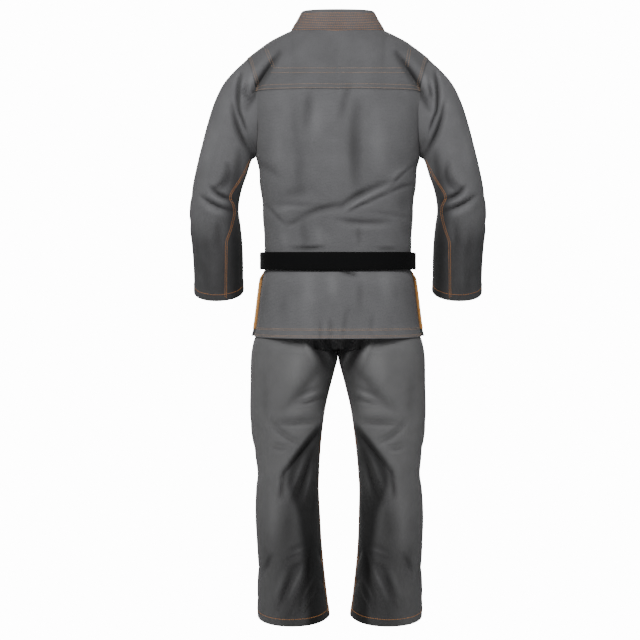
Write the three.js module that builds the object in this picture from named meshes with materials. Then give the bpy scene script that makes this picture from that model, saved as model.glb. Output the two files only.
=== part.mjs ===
// Judo uniform in its worn shape, with no wearer: jacket, belt and trousers.
// Millimetres, +Z up. The origin is the middle of the neck opening, level with the collar's base.
// +X is the wearer's left, -Y the front and +Y the back. Heights below are heights above the origin.

import * as THREE from 'three';

// Cloth and seams
const JACKET_CLOTH = 2;
const YOKE_CLOTH = 1.4;
const TROUSER_CLOTH = 1.4;
const SEAM_GAP = 0.3;

// Jacket
const HEM = -707;
const ARMPIT = -291;
const VENT_TOP = -551;
const SHOULDER_Y = 8;
const NECK_WIDTH = 108;
const NAPE_REACH = 58;
const THROAT_REACH = 50;
const THROAT_DROP = 20;
const COLLAR_WIDTH = 50;
const COLLAR_THICK = 8;
const YOKE_BOTTOM = -142;
const TAPE_THICK = 1;
const TAPE_BOTTOM = -688;

// The left front lies over the right front and its lapel, so it stands this far off the body there.
const OVERLAP_LIFT = 9;

// Belt
const BELT_WIDTH = 40;
const BELT_THICK = 3.5;
const BELT_MIDDLE = -531;
const BELT_END = 235;
const BELT_LOW = BELT_MIDDLE - BELT_WIDTH / 2 - 2;
const BELT_HIGH = BELT_MIDDLE + BELT_WIDTH / 2 + 2;

// Trousers
const WAIST = -480;
const CROTCH = -739;
const TROUSER_HEM = -1353;
const WAISTBAND = 40;
const WAISTBAND_THICK = 2.6;

// Grid sizes: how many cells a piece has across and along
const SKIRT_ROWS = 5;
const CHEST_ROWS = 8;
const ARMHOLE_ROWS = 12;
const NECK_COLUMNS = 8;
const SHOULDER_COLUMNS = 8;
const FRONT_COLUMNS = 10;
const SLEEVE_ROWS = 17;
const LEG_COLUMNS = 22;
const LEG_ROWS = 17;
const SEAT_ROWS = 7;
const BELT_COLUMNS = 48;

const { lerp, clamp, smoothstep } = THREE.MathUtils;
const vec = (x, y, z) => new THREE.Vector3(x, y, z);
const steps = (count) => Array.from({ length: count + 1 }, (_, i) => i / count);
const table = (names, rows) =>
  rows.map((row) => Object.fromEntries(names.split(' ').map((name, i) => [name, row[i]])));

// Cubic from a to b that leaves with one slope and arrives with another.
function hermite(s, a, b, leave, arrive) {
  const s2 = s * s;
  const s3 = s2 * s;
  return (2 * s3 - 3 * s2 + 1) * a + (s3 - 2 * s2 + s) * leave
    + (3 * s2 - 2 * s3) * b + (s3 - s2) * arrive;
}

// A smooth curve through one named column of a table, read at a value of its first column.
function curve(rows, name) {
  const key = Object.keys(rows[0])[0];
  const at = rows.map((row) => row[key]);
  const value = rows.map((row) => row[name]);
  const slope = value.map((_, i) => {
    const a = Math.max(i - 1, 0);
    const b = Math.min(i + 1, value.length - 1);
    return (value[b] - value[a]) / (at[b] - at[a]);
  });
  return (x) => {
    let i = 0;
    while (i < at.length - 2 && x > at[i + 1]) i += 1;
    const span = at[i + 1] - at[i];
    const s = clamp((x - at[i]) / span, 0, 1);
    return hermite(s, value[i], value[i + 1], slope[i] * span, slope[i + 1] * span);
  };
}

function curves(rows) {
  const names = Object.keys(rows[0]).slice(1);
  return Object.fromEntries(names.map((name) => [name, curve(rows, name)]));
}

// Folds: each is a straight run from one end to the other, seen from behind or in front.
// height is how far it stands out of the cloth, or below zero how deep it sinks, and spread is its
// half width.
const FOLD = 'x0 z0 x1 z1 spread height';

function relief(folds, x, z) {
  let sum = 0;
  for (const fold of folds) {
    const dx = fold.x1 - fold.x0;
    const dz = fold.z1 - fold.z0;
    const along = clamp(((x - fold.x0) * dx + (z - fold.z0) * dz) / (dx * dx + dz * dz), 0, 1);
    const away = Math.hypot(x - fold.x0 - along * dx, z - fold.z0 - along * dz) / fold.spread;
    sum += fold.height * Math.exp(-away * away) * Math.sin(Math.PI * lerp(0.12, 0.88, along));
  }
  return sum;
}

const BACK_FOLDS = table(FOLD, [
  [140, -62, 214, -176, 15, -10],
  [-134, -58, -214, -176, 15, -10],
  [40, -200, 84, -330, 26, -4],
  [-36, -230, -40, -400, 26, -6],
  [178, -350, 60, -410, 24, 5],
  [-172, -338, -30, -440, 24, 7],
  [-100, -395, 96, -474, 17, -7],
  [166, -420, 118, -482, 16, -6],
  [-172, -384, -120, -400, 15, -5],
  [20, -480, -120, -486, 14, -4],
]);

const SLEEVE_BACK_FOLDS = table(FOLD, [
  [232, -104, 230, -192, 12, -6],
  [-232, -102, -230, -190, 12, -6],
  [244, -186, 206, -290, 14, -7],
  [-246, -186, -208, -290, 14, -7],
  [300, -350, 244, -386, 14, -7],
  [-300, -350, -244, -386, 14, -7],
  [318, -388, 246, -424, 14, -6],
  [-318, -386, -246, -424, 14, -6],
]);

const FRONT_FOLDS = table(FOLD, [
  [150, -80, 196, -200, 18, -8],
  [-146, -76, -198, -196, 18, -8],
  [160, -300, 60, -400, 24, -5],
  [-158, -310, -70, -420, 24, -5],
  [150, -450, 60, -486, 16, -4],
  [-150, -440, -70, -484, 16, -4],
]);

const SLEEVE_FRONT_FOLDS = table(FOLD, [
  [330, -390, 240, -420, 14, -8],
  [-330, -390, -240, -420, 14, -8],
  [334, -430, 240, -452, 12, -5],
  [-334, -430, -240, -452, 12, -5],
]);

const TROUSER_BACK_FOLDS = table(FOLD, [
  [40, -770, 96, -905, 20, -7],
  [-40, -770, -96, -905, 20, -7],
  [60, -912, 140, -906, 16, -9],
  [-60, -912, -140, -906, 16, -9],
  [150, -900, 96, -948, 18, 6],
  [-150, -900, -96, -948, 18, 6],
  [58, -950, 136, -1030, 20, -8],
  [-58, -950, -136, -1030, 20, -8],
  [56, -1080, 92, -1200, 18, -6],
  [-56, -1080, -92, -1200, 18, -6],
  [60, -1210, 110, -1310, 17, -6],
  [-60, -1210, -110, -1310, 17, -6],
]);

const TROUSER_FRONT_FOLDS = table(FOLD, [
  [20, -760, 110, -800, 22, -7],
  [-20, -760, -110, -800, 22, -7],
  [60, -880, 150, -930, 22, 6],
  [-60, -880, -150, -930, 22, 6],
  [64, -1220, 150, -1262, 18, -7],
  [-64, -1220, -150, -1262, 18, -7],
]);

// A wall of cloth. points[i][j] is its middle surface, i across and j along, and half of the
// thickness lies on each side. thick is one size or a function of i. wrapped(j) says that row j
// closes on itself into a tube, and facing is 1 where the outside is on the side of across x along,
// or else -1.
function wall(points, thick, facing = 1, wrapped = () => false) {
  const across = points.length - 1;
  const along = points[0].length - 1;
  const thickAt = typeof thick === 'function' ? thick : () => thick;
  const normalAt = (i, j) => {
    const ring = wrapped(j);
    const before = i > 0 ? i - 1 : ring ? across - 1 : 0;
    const after = i < across ? i + 1 : ring ? 1 : across;
    const du = points[after][j].clone().sub(points[before][j]);
    const dv = points[i][Math.min(j + 1, along)].clone().sub(points[i][Math.max(j - 1, 0)]);
    return du.cross(dv).normalize().multiplyScalar(facing);
  };
  const position = [];
  const index = [];
  const ids = [[], []];
  for (let i = 0; i <= across; i += 1) {
    ids[0].push([]);
    ids[1].push([]);
    for (let j = 0; j <= along; j += 1) {
      if (i === across && wrapped(j)) {
        ids[0][i].push(ids[0][0][j]);
        ids[1][i].push(ids[1][0][j]);
        continue;
      }
      const normal = normalAt(i, j).multiplyScalar(thickAt(i) / 2);
      for (const [skin, sign] of [[0, 1], [1, -1]]) {
        const p = points[i][j].clone().addScaledVector(normal, sign);
        ids[skin][i].push(position.length / 3);
        position.push(p.x, p.y, p.z);
      }
    }
  }
  const quad = (a, b, c, d) => {
    const order = facing > 0 ? [a, b, c, a, c, d] : [a, c, b, a, d, c];
    index.push(...order);
  };
  const [outer, inner] = ids;
  for (let i = 0; i < across; i += 1) {
    for (let j = 0; j < along; j += 1) {
      quad(outer[i][j], outer[i + 1][j], outer[i + 1][j + 1], outer[i][j + 1]);
      quad(inner[i][j], inner[i][j + 1], inner[i + 1][j + 1], inner[i + 1][j]);
    }
    quad(outer[i + 1][0], outer[i][0], inner[i][0], inner[i + 1][0]);
    quad(outer[i][along], outer[i + 1][along], inner[i + 1][along], inner[i][along]);
  }
  for (let j = 0; j < along; j += 1) {
    if (wrapped(j) && wrapped(j + 1)) continue;
    quad(outer[0][j], outer[0][j + 1], inner[0][j + 1], inner[0][j]);
    quad(outer[across][j + 1], outer[across][j], inner[across][j], inner[across][j + 1]);
  }
  const geometry = new THREE.BufferGeometry();
  geometry.setAttribute('position', new THREE.Float32BufferAttribute(position, 3));
  geometry.setIndex(index);
  geometry.computeVertexNormals();
  return geometry;
}

const tube = () => true;

// Jacket body. It is one surface, read by across, from 1 at the wearer's left side seam through 0
// at the middle to -1 at the right, by level, and by face, 1 for the back and -1 for the front.
// Up to the armpit a level is a height. Above it the level runs on to 0 at the shoulder seam and
// neckline, and the columns of cloth curve over the shoulder.
const SQUARENESS = 2.4;
const NECK = 0.34;
const VENT_FLARE = { x: 8, y: 20, turn: 25 };

const TORSO = curves(table('height width back front', [
  [-707, 193.5, 130, 122],
  [-688, 189, 127, 121],
  [-655, 184.5, 124, 119],
  [-617, 180, 121, 116],
  [-580, 175, 116, 112],
  [-553, 170, 104, 105],
  [-509, 170, 103.5, 105],
  [-468, 171, 104, 109],
  [-431, 174, 107, 112],
  [-394, 175, 111, 115],
  [-356, 181, 115, 118],
  [-319, 183, 118, 120],
  [-291, 190, 119, 121],
]));

const SHOULDER = curves(table('across x z', [
  [NECK, NECK_WIDTH, 2],
  [0.63, 154, -21],
  [0.79, 180, -39],
  [0.95, 205, -58],
  [1, 213, -65],
]));

// How a column of cloth leaves the armpit level and how it arrives at the shoulder or neckline.
const RISE = 'across leaveX leaveY leaveZ arriveX arriveY arriveZ';
const BACK_RISE = curves(table(RISE, [
  [0, 0, 30, 300, 0, -110, 240],
  [NECK, 0, 40, 290, 0, -304, 40],
  [0.6, -5, 70, 260, 10, -322, 45],
  [0.8, -20, 130, 220, 35, -294, 50],
  [1, -50, 260, 150, 74, -250, 60],
]));
const FRONT_RISE = curves(table(RISE, [
  [0, 0, -40, 300, 0, 212, 100],
  [NECK, 0, -90, 290, 0, 313, 40],
  [0.6, -5, -140, 260, 10, 286, 45],
  [0.8, -25, -180, 220, 45, 264, 50],
  [1, -80, -200, 150, 92, 220, 60],
]));

function torsoRing(across, height, face) {
  const turn = (1 - across) * Math.PI / 2;
  const c = Math.cos(turn);
  const s = Math.sin(turn);
  const grow = (Math.abs(c) ** SQUARENESS + Math.abs(s) ** SQUARENESS) ** (-1 / SQUARENESS);
  const depth = face > 0 ? TORSO.back(height) : TORSO.front(height);
  const point = vec(TORSO.width(height) * c * grow, face * depth * s * grow, height);
  if (face < 0) {
    const flareTurn = THREE.MathUtils.degToRad(VENT_FLARE.turn);
    const fromSide = Math.min(turn, Math.PI - turn);
    const near = Math.max(0, 1 - fromSide / flareTurn) ** 2;
    const open = near * (1 - smoothstep(height, VENT_TOP - 34, VENT_TOP));
    point.x += Math.sign(c) * VENT_FLARE.x * open;
    point.y -= VENT_FLARE.y * open;
  }
  return point;
}

function topLine(across, face) {
  const size = Math.abs(across);
  const side = Math.sign(across);
  if (size >= NECK) return vec(side * SHOULDER.x(size), SHOULDER_Y, SHOULDER.z(size));
  const share = across / NECK;
  const middle = 1 - share * share;
  if (face < 0) {
    return vec(NECK_WIDTH * share, SHOULDER_Y - THROAT_REACH * middle, 2 - THROAT_DROP * middle);
  }
  const turn = share * Math.PI / 2;
  return vec(NECK_WIDTH * Math.sin(turn), SHOULDER_Y + NAPE_REACH * Math.cos(turn), 2 - 6 * Math.cos(turn));
}

function plainBody(across, level, face) {
  if (level <= ARMPIT) return torsoRing(across, level, face);
  const s = 1 - level / ARMPIT;
  const from = torsoRing(across, ARMPIT, face);
  const to = topLine(across, face);
  const size = Math.abs(across);
  const side = Math.sign(across);
  const rise = face > 0 ? BACK_RISE : FRONT_RISE;
  return vec(
    hermite(s, from.x, to.x, side * rise.leaveX(size), side * rise.arriveX(size)),
    hermite(s, from.y, to.y, rise.leaveY(size), rise.arriveY(size)),
    hermite(s, from.z, to.z, rise.leaveZ(size), rise.arriveZ(size)),
  );
}

// Folds fade out at the side seams, at the shoulder seam and under the belt.
const seamFade = (s) => smoothstep(s, 0, 0.3) * (1 - smoothstep(s, 0.88, 1));
const beltFade = (z) => smoothstep(Math.abs(z - BELT_MIDDLE), BELT_WIDTH * 0.6, BELT_WIDTH * 1.3);

function body(across, level, face) {
  const point = plainBody(across, level, face);
  const s = level <= ARMPIT ? 0 : 1 - level / ARMPIT;
  const round = Math.sin((1 - across) * Math.PI / 2);
  const weight = s > 0 ? lerp(round, 1, smoothstep(s, 0, 0.3)) * (1 - smoothstep(s, 0.88, 1)) : round;
  const folds = face > 0 ? BACK_FOLDS : FRONT_FOLDS;
  point.y += face * weight * beltFade(point.z) * relief(folds, point.x, point.z);
  return point;
}

// The body moved outwards by a distance that may change over it.
function offsetBody(across, level, face, distance) {
  const d = 0.01;
  const point = body(across, level, face);
  const up = level > -1 ? -1 : 1;
  const du = body(across - d, level, face).sub(body(across + d, level, face));
  const dv = body(across, level + up, face).sub(point).multiplyScalar(up);
  const normal = du.cross(dv).normalize().multiplyScalar(face);
  return point.addScaledVector(normal, distance(point, level));
}

const levels = [
  ...steps(SKIRT_ROWS).map((s) => lerp(HEM, BELT_LOW, s)),
  ...steps(CHEST_ROWS).map((s) => lerp(BELT_HIGH, ARMPIT, s)).slice(0, -1),
  ...steps(ARMHOLE_ROWS).map((s) => ARMPIT * (1 + Math.cos(Math.PI * s)) / 2),
];
const backColumns = [
  ...steps(SHOULDER_COLUMNS).map((s) => lerp(1, NECK, s)).slice(0, -1),
  ...steps(NECK_COLUMNS).map((s) => lerp(NECK, -NECK, s)).slice(0, -1),
  ...steps(SHOULDER_COLUMNS).map((s) => lerp(-NECK, -1, s)),
];

// Back and front part from each other at the side seams, and by a little more over the shoulder,
// where their edges slope.
function partSeam(point, face) {
  const shoulder = 0.35 * smoothstep(point.z, -120, -70);
  return point.setY(point.y + face * (SEAM_GAP / 2 + shoulder));
}

function backPanel() {
  const points = backColumns.map((across) =>
    levels.map((level) => partSeam(body(across, level, 1), 1)));
  return wall(points, JACKET_CLOTH, -1);
}

// Front edge, where the lapel is sewn on: x of the wearer's left front at each level.
const FRONT_EDGE = curve(table('level x', [
  [-707, -84],
  [-600, -62],
  [-531, -48],
  [-430, -22],
  [-340, 10],
  [-291, 27],
  [-230, 47],
  [-180, 62],
  [-120, 80],
  [-60, 97],
  [-20, 106],
  [0, NECK_WIDTH],
]), 'x');

// The place across at which the front edge lies, found by halving.
function edgeAcross(level) {
  if (level > -0.5) return NECK;
  let low = -0.9;
  let high = 1;
  for (let i = 0; i < 40; i += 1) {
    const middle = (low + high) / 2;
    if (plainBody(middle, level, -1).x > FRONT_EDGE(level)) high = middle;
    else low = middle;
  }
  return (low + high) / 2;
}

// How far the left front is lifted to clear the right front and its lapel.
function overlapLift(point, level) {
  const lapelReach = COLLAR_WIDTH - FRONT_EDGE(level);
  return OVERLAP_LIFT * (1 - smoothstep(point.x, lapelReach + 4, lapelReach + 44));
}
const noLift = () => 0;

const layerOf = (side) => (side > 0 ? overlapLift : noLift);

function frontPanel(side) {
  const points = steps(FRONT_COLUMNS).map((s) => levels.map((level) => {
    const across = side * lerp(1, edgeAcross(level), s);
    return partSeam(offsetBody(across, level, -1, layerOf(side)), -1);
  }));
  return wall(points, JACKET_CLOTH, side);
}

// Yoke: a second layer over the upper back, from armhole to armhole.
function yokePanel() {
  const lift = JACKET_CLOTH / 2 + 1 + YOKE_CLOTH / 2;
  const upper = levels.slice(-ARMHOLE_ROWS / 2 - 1);
  const points = backColumns.map((across) => {
    const column = levels.map((level) => offsetBody(across, level, 1, () => lift));
    const above = column.findIndex((point) => point.z > YOKE_BOTTOM);
    const [below, next] = [column[above - 1], column[above]];
    const bottom = below.clone().lerp(next, (YOKE_BOTTOM - below.z) / (next.z - below.z));
    const [middle, ...rest] = column.slice(-upper.length);
    const second = middle.z > YOKE_BOTTOM + 4 ? middle : bottom.clone().lerp(rest[0], 0.3);
    return [bottom, second, ...rest.slice(0, -1), rest.at(-2).clone().lerp(rest.at(-1), 0.7)];
  });
  const last = points.length - 1;
  points[0] = points[0].map((point, j) => point.clone().lerp(points[1][j], 0.06));
  points[last] = points[last].map((point, j) => point.clone().lerp(points[last - 1][j], 0.06));
  return wall(points, YOKE_CLOTH, -1);
}

// Orange tape inside each front's vent edge. It shows from behind, past the back panel.
function ventTape(side) {
  const inside = () => -(JACKET_CLOTH + TAPE_THICK) / 2 - 3 * SEAM_GAP;
  const points = [1, 0.967, 0.935].map((across) => steps(8).map((s) =>
    offsetBody(side * across, lerp(TAPE_BOTTOM, VENT_TOP - 8, s), -1, inside)));
  return wall(points, TAPE_THICK, side);
}

// Collar band. On the chest it follows the body inwards from the front edge, and round the neck
// it stands up from the neckline and leans in.
const BAND_CELLS = 3;
const BAND_THICK = [3, COLLAR_THICK, COLLAR_THICK, COLLAR_THICK - 2];
const NECK_LEAN = { side: 0.7, nape: 0.16 };

function lapelAcross(side, level) {
  const layer = layerOf(side);
  const at = (across, height) => offsetBody(across, height, -1, layer);
  const d = 0.01;
  let across = side * edgeAcross(level);
  let height = level;
  const start = at(across, height);
  const up = level > -6 ? -3 : 3;
  const next = at(side * edgeAcross(level + up), level + up);
  const edge = next.sub(start).multiplyScalar(up).normalize();
  const flat = smoothstep(level, HEM, HEM + 70);
  const points = [];
  let walked = SEAM_GAP + 0.3;
  for (let k = 0; k <= BAND_CELLS; k += 1) {
    const here = at(across, height);
    const du = at(across + d, height).sub(here).divideScalar(d);
    const dh = here.clone().sub(at(across, height - 1));
    const normal = du.clone().cross(dh).normalize();
    const inward = normal.clone().cross(edge).normalize();
    if (inward.x * side > 0) inward.negate();
    const uu = du.dot(du);
    const uh = du.dot(dh);
    const hh = dh.dot(dh);
    const wu = inward.dot(du) * walked;
    const wh = inward.dot(dh) * walked;
    const det = uu * hh - uh * uh;
    across += (wu * hh - wh * uh) / det;
    height = Math.min(height + flat * (wh * uu - wu * uh) / det, 0);
    points.push(at(across, height));
    walked = COLLAR_WIDTH / BAND_CELLS;
  }
  return { start, edge, points };
}

function standingAcross(start, edge, lean) {
  const radial = vec(start.x, start.y - SHOULDER_Y, 0);
  if (radial.length() < 1) radial.set(1, 0, 0);
  const upward = vec(0, 0, 1).addScaledVector(radial.normalize(), -lean);
  upward.addScaledVector(edge, -upward.dot(edge)).normalize();
  return steps(BAND_CELLS).map((s) =>
    start.clone().addScaledVector(upward, SEAM_GAP + 0.7 + s * COLLAR_WIDTH));
}

function frontStation(side, level) {
  const { start, edge, points } = lapelAcross(side, level);
  const standing = standingAcross(start, edge, NECK_LEAN.side);
  const weight = smoothstep(level, -190, -8);
  return points.map((p, k) => p.lerp(standing[k], weight));
}

function collarBand() {
  const left = levels.map((level) => frontStation(1, level));
  const right = levels.map((level) => frontStation(-1, level)).reverse();
  const nape = steps(NECK_COLUMNS).slice(1, -1).map((s) => {
    const across = lerp(NECK, -NECK, s);
    const start = topLine(across, 1);
    const edge = topLine(across - 0.01, 1).sub(topLine(across + 0.01, 1)).normalize();
    const lean = lerp(NECK_LEAN.side, NECK_LEAN.nape, Math.cos((across / NECK) * Math.PI / 2));
    return standingAcross(start, edge, lean);
  });
  const stations = [...left, ...nape, ...right];
  const points = steps(BAND_CELLS).map((_, k) => stations.map((station) => station[k]));
  return wall(points, (k) => BAND_THICK[k], 1);
}

// Sleeve. Each ring is given by its innermost and outermost point seen from behind, half its
// depth from back to front, how far back its middle lies, and how far its back edge tips down.
const SLEEVE = curves(table('ring innerX innerZ outerX outerZ depth middleY tip', [
  [0, 192.5, -290, 213.5, -64, 58, 8, 0],
  [1, 200, -295, 243, -92, 59, 8, 0],
  [2, 204.5, -305, 268, -124, 60, 9, 0],
  [3, 208.5, -318, 288, -168, 60, 10, 0],
  [4, 213, -334, 303, -216, 60, 11, 0.02],
  [5, 219, -350, 316, -266, 59, 12, 0.05],
  [6, 225, -370, 328, -316, 58, 13, 0.1],
  [7, 230, -395, 338, -364, 57, 12, 0.18],
  [8, 231.5, -421, 344, -408, 56, 6, 0.3],
  [9, 228, -452, 345, -450, 55, -10, 0.42],
  [10, 225, -492, 342, -492, 54, -32, 0.5],
  [11, 223.5, -536, 338, -538, 54, -60, 0.54],
  [12, 223, -575, 335.5, -577, 55, -84, 0.56],
  [13, 221.5, -594, 333.5, -596, 55.5, -95, 0.56],
]));
const LAST_RING = 13;
const ARMHOLE_SETTLES = 3.2;

function sleeveEllipse(ring, turn) {
  const inner = vec(SLEEVE.innerX(ring), 0, SLEEVE.innerZ(ring));
  const outer = vec(SLEEVE.outerX(ring), 0, SLEEVE.outerZ(ring));
  const point = inner.clone().lerp(outer, (1 + Math.cos(turn)) / 2);
  const tip = SLEEVE.tip(ring);
  const depth = SLEEVE.depth(ring) * Math.sin(turn);
  point.y += SLEEVE.middleY(ring) + depth * Math.sqrt(1 - tip * tip);
  point.z -= depth * tip;
  return point;
}

// The armhole's edge, moved out of the panels by the seam gap. Under the arm the sleeve starts
// a little further out, because it turns down beside the panels there.
function armholePoint(turn) {
  const face = Math.sin(turn) >= 0 ? 1 : -1;
  const level = ARMPIT * (1 - Math.cos(turn)) / 2;
  const point = plainBody(1, level, face);
  const outwards = point.clone().sub(plainBody(0.98, level, face)).normalize();
  const up = level > -2 ? -1 : 1;
  const edge = plainBody(1, level + up, face).sub(point).normalize();
  outwards.addScaledVector(edge, -outwards.dot(edge)).normalize();
  const under = face > 0 ? smoothstep(-Math.cos(turn), -0.3, 0.8) : smoothstep(-Math.cos(turn), -0.9, 0.4);
  point.addScaledVector(outwards, (SEAM_GAP + 0.5) * (1 - under));
  point.add(vec(2.8, 0, 1.4 * smoothstep(-Math.cos(turn), 0, 1)).multiplyScalar(under));
  return point;
}

function sleeve(side) {
  const around = 2 * ARMHOLE_ROWS;
  const points = steps(around).map((s) => {
    const turn = s * 2 * Math.PI;
    const armhole = armholePoint(turn).sub(sleeveEllipse(0, turn));
    return steps(SLEEVE_ROWS).map((r) => {
      const ring = r * LAST_RING;
      const settled = smoothstep(ring, 0, ARMHOLE_SETTLES);
      const point = sleeveEllipse(ring, turn).addScaledVector(armhole, 1 - settled);
      point.x *= side;
      const face = Math.sign(Math.sin(turn));
      const weight = lerp(seamFade((1 + Math.cos(turn)) / 2), Math.abs(Math.sin(turn)), settled);
      const onSleeve = face > 0 ? SLEEVE_BACK_FOLDS : SLEEVE_FRONT_FOLDS;
      const onBody = face > 0 ? BACK_FOLDS : FRONT_FOLDS;
      point.y += face * weight * (relief(onBody, point.x, point.z)
        + settled * relief(onSleeve, point.x, point.z));
      return point;
    });
  });
  return wall(points, JACKET_CLOTH, -side, tube);
}

// Belt: two turns round the waist, a knot that grips them, and two ends.
function beltPoint(turn, height, distance) {
  const face = turn <= Math.PI ? 1 : -1;
  const across = face > 0 ? 1 - turn / (Math.PI / 2) : turn / (Math.PI / 2) - 3;
  const front = face > 0 ? 0 : Math.sin(turn - Math.PI);
  const clear = 0.8 + (OVERLAP_LIFT + COLLAR_THICK / 2) * smoothstep(front, 0, 0.45)
    + 4.6 * smoothstep(front, 0.93, 0.995);
  const reach = JACKET_CLOTH / 2 + clear + distance;
  const point = torsoRing(across, BELT_LOW, face);
  const near = 0.01;
  const ahead = torsoRing(clamp(across + near, -1, 1), BELT_LOW, face);
  const behind = torsoRing(clamp(across - near, -1, 1), BELT_LOW, face);
  const along = ahead.sub(behind);
  const normal = vec(along.y, -along.x, 0).normalize().multiplyScalar(-face);
  point.addScaledVector(normal, reach);
  point.z = height;
  return point;
}

function beltTurn(layer) {
  const distance = BELT_THICK / 2 + layer * (BELT_THICK + 0.4);
  const points = steps(BELT_COLUMNS).map((s) => [-0.5, 0.5].map((h) =>
    beltPoint(s * 2 * Math.PI, BELT_MIDDLE + h * BELT_WIDTH, distance)));
  return wall(points, BELT_THICK, 1, tube);
}

const KNOT = { width: 40, reach: 30, thick: 4 };
const beltFront = () => beltPoint(1.5 * Math.PI, BELT_MIDDLE, 2 * BELT_THICK + 0.4).y;

// The knot's loop: a band that passes behind both turns and comes round in front of them.
function knotLoop() {
  const clear = KNOT.thick / 2 + 0.5;
  const front = beltFront() - clear;
  const back = beltPoint(1.5 * Math.PI, BELT_MIDDLE, 0).y + clear;
  const half = BELT_WIDTH / 2 + clear;
  const bulge = 9;
  const outline = [
    [back, half], [back, 0], [back, -half], [front, -half - 1],
    [front - bulge * 0.6, -half * 0.6], [front - bulge, 0], [front - bulge * 0.6, half * 0.6], [front, half + 1],
  ];
  const ring = [...outline, outline[0]];
  const points = ring.map(([y, z], i) => steps(4).map((s) => {
    const inFront = i > 2 && i < 8 ? 1 : 0;
    const lean = (s - 0.5) * -10 * inFront;
    return vec((s - 0.5) * KNOT.width, y, BELT_MIDDLE + z + lean * (Math.abs(z) < half ? 1 : 0));
  }));
  return wall(points, KNOT.thick, -1, tube);
}

// An end of the belt leaves the knot sideways, turns down and hangs in front of the skirt.
function beltEnd(side) {
  const start = vec(side * (KNOT.width / 2 + 4.85), beltFront() - 3, BELT_MIDDLE);
  const path = new THREE.CatmullRomCurve3([
    start,
    vec(side * 44, start.y - 6, BELT_MIDDLE - 4),
    vec(side * 62, start.y - 12, BELT_MIDDLE - 44),
    vec(side * 72, start.y - 14, BELT_MIDDLE - 120),
    vec(side * 74, start.y - 15, BELT_MIDDLE - BELT_END),
  ]);
  const points = steps(12).map((s) => {
    const p = path.getPoint(s);
    const t = path.getTangent(s);
    const flat = vec(t.z, 0, -t.x).normalize().multiplyScalar(BELT_WIDTH / 2);
    return [-1, 1].map((k) => p.clone().addScaledVector(flat, k));
  });
  return wall(points, BELT_THICK, side);
}

// Trousers. The seat is half of a ring round the hips, and each leg a ring of its own. Between the
// rise's start and the crotch one turns into the other, and the rise seam closes under the crotch.
const RISE_START = -585;
const SEAT = curves(table('height width back front', [
  [-760, 201, 116, 108],
  [-748, 201, 118, 110],
  [-729, 198, 120, 112],
  [-716, 195, 120, 112],
  [-707, 191.3, 119.9, 111.8],
  [-690, 186.3, 117.9, 110.8],
  [-650, 175, 111, 106],
  [-600, 167, 104, 102],
  [-560, 162, 99, 99],
  [-520, 159, 94, 96],
  [-480, 158, 92, 95],
]));
const LEG = curves(table('height inner outer depth middleY', [
  [-1353, 29, 190, 82, 4],
  [-1320, 33, 192, 81, 4],
  [-1275, 37, 191, 80, 3],
  [-1233, 40, 190, 79, 3],
  [-1180, 43, 192.5, 78, 2],
  [-1121, 45.5, 195, 77, 1],
  [-1060, 47.5, 192.5, 76, 0],
  [-1028, 46, 188.5, 76, 0],
  [-1000, 44.5, 191, 76, 0],
  [-960, 41, 197, 77, 0],
  [-916, 36, 203, 80, 2],
  [-870, 29, 204, 84, 4],
  [-823, 18, 203, 89, 5],
  [-785, 9, 202.5, 93, 6],
  [-760, 4, 202, 96, 6],
  [-739, 1.3, 200, 98, 6],
]));
const LEG_ROUND = 2.25;
const HEM_DIP = 12;

function legPoint(side, q, height) {
  const turn = Math.PI * (1 - 2 * q);
  const c = Math.cos(turn);
  const s = Math.sin(turn);
  const grow = (Math.abs(c) ** LEG_ROUND + Math.abs(s) ** LEG_ROUND) ** (-1 / LEG_ROUND);
  const low = Math.min(height, CROTCH);
  const inner = LEG.inner(low);
  const outer = height > CROTCH ? SEAT.width(height) : LEG.outer(height);
  const leg = vec((inner + outer) / 2 + ((outer - inner) / 2) * c * grow,
    LEG.middleY(low) + LEG.depth(low) * s * grow, height);
  const rise = clamp((height - RISE_START) / (CROTCH - RISE_START), 0, 1);
  const legShare = height <= CROTCH ? 1 : 1 - Math.sqrt(1 - rise * rise);
  const half = turn / 2;
  const hc = Math.cos(half);
  const hs = Math.sin(half);
  const hgrow = (hc ** SQUARENESS + Math.abs(hs) ** SQUARENESS) ** (-1 / SQUARENESS);
  const depth = hs > 0 ? SEAT.back(height) : SEAT.front(height);
  const seat = vec(Math.max(SEAT.width(height) * hc * hgrow, SEAM_GAP / 2), depth * hs * hgrow, height);
  const point = seat.lerp(leg, legShare);
  const face = Math.sign(s);
  const hidden = 1 - smoothstep(height, HEM - 10, HEM + 50);
  const folds = face > 0 ? TROUSER_BACK_FOLDS : TROUSER_FRONT_FOLDS;
  const lift = relief(folds, side * point.x, point.z);
  point.y += face * Math.abs(s) * hidden * lift;
  point.z -= HEM_DIP * s * (1 - smoothstep(height, TROUSER_HEM, TROUSER_HEM + 200));
  point.x *= side;
  return point;
}

function trouserLeg(side) {
  const heights = [
    ...steps(LEG_ROWS).map((s) => lerp(TROUSER_HEM, CROTCH, s)),
    ...steps(SEAT_ROWS).slice(1).map((s) => lerp(CROTCH, WAIST, s)),
  ];
  const points = steps(LEG_COLUMNS).map((q) => heights.map((height) => legPoint(side, q, height)));
  return wall(points, TROUSER_CLOTH, -side, (j) => j <= LEG_ROWS);
}

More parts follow.
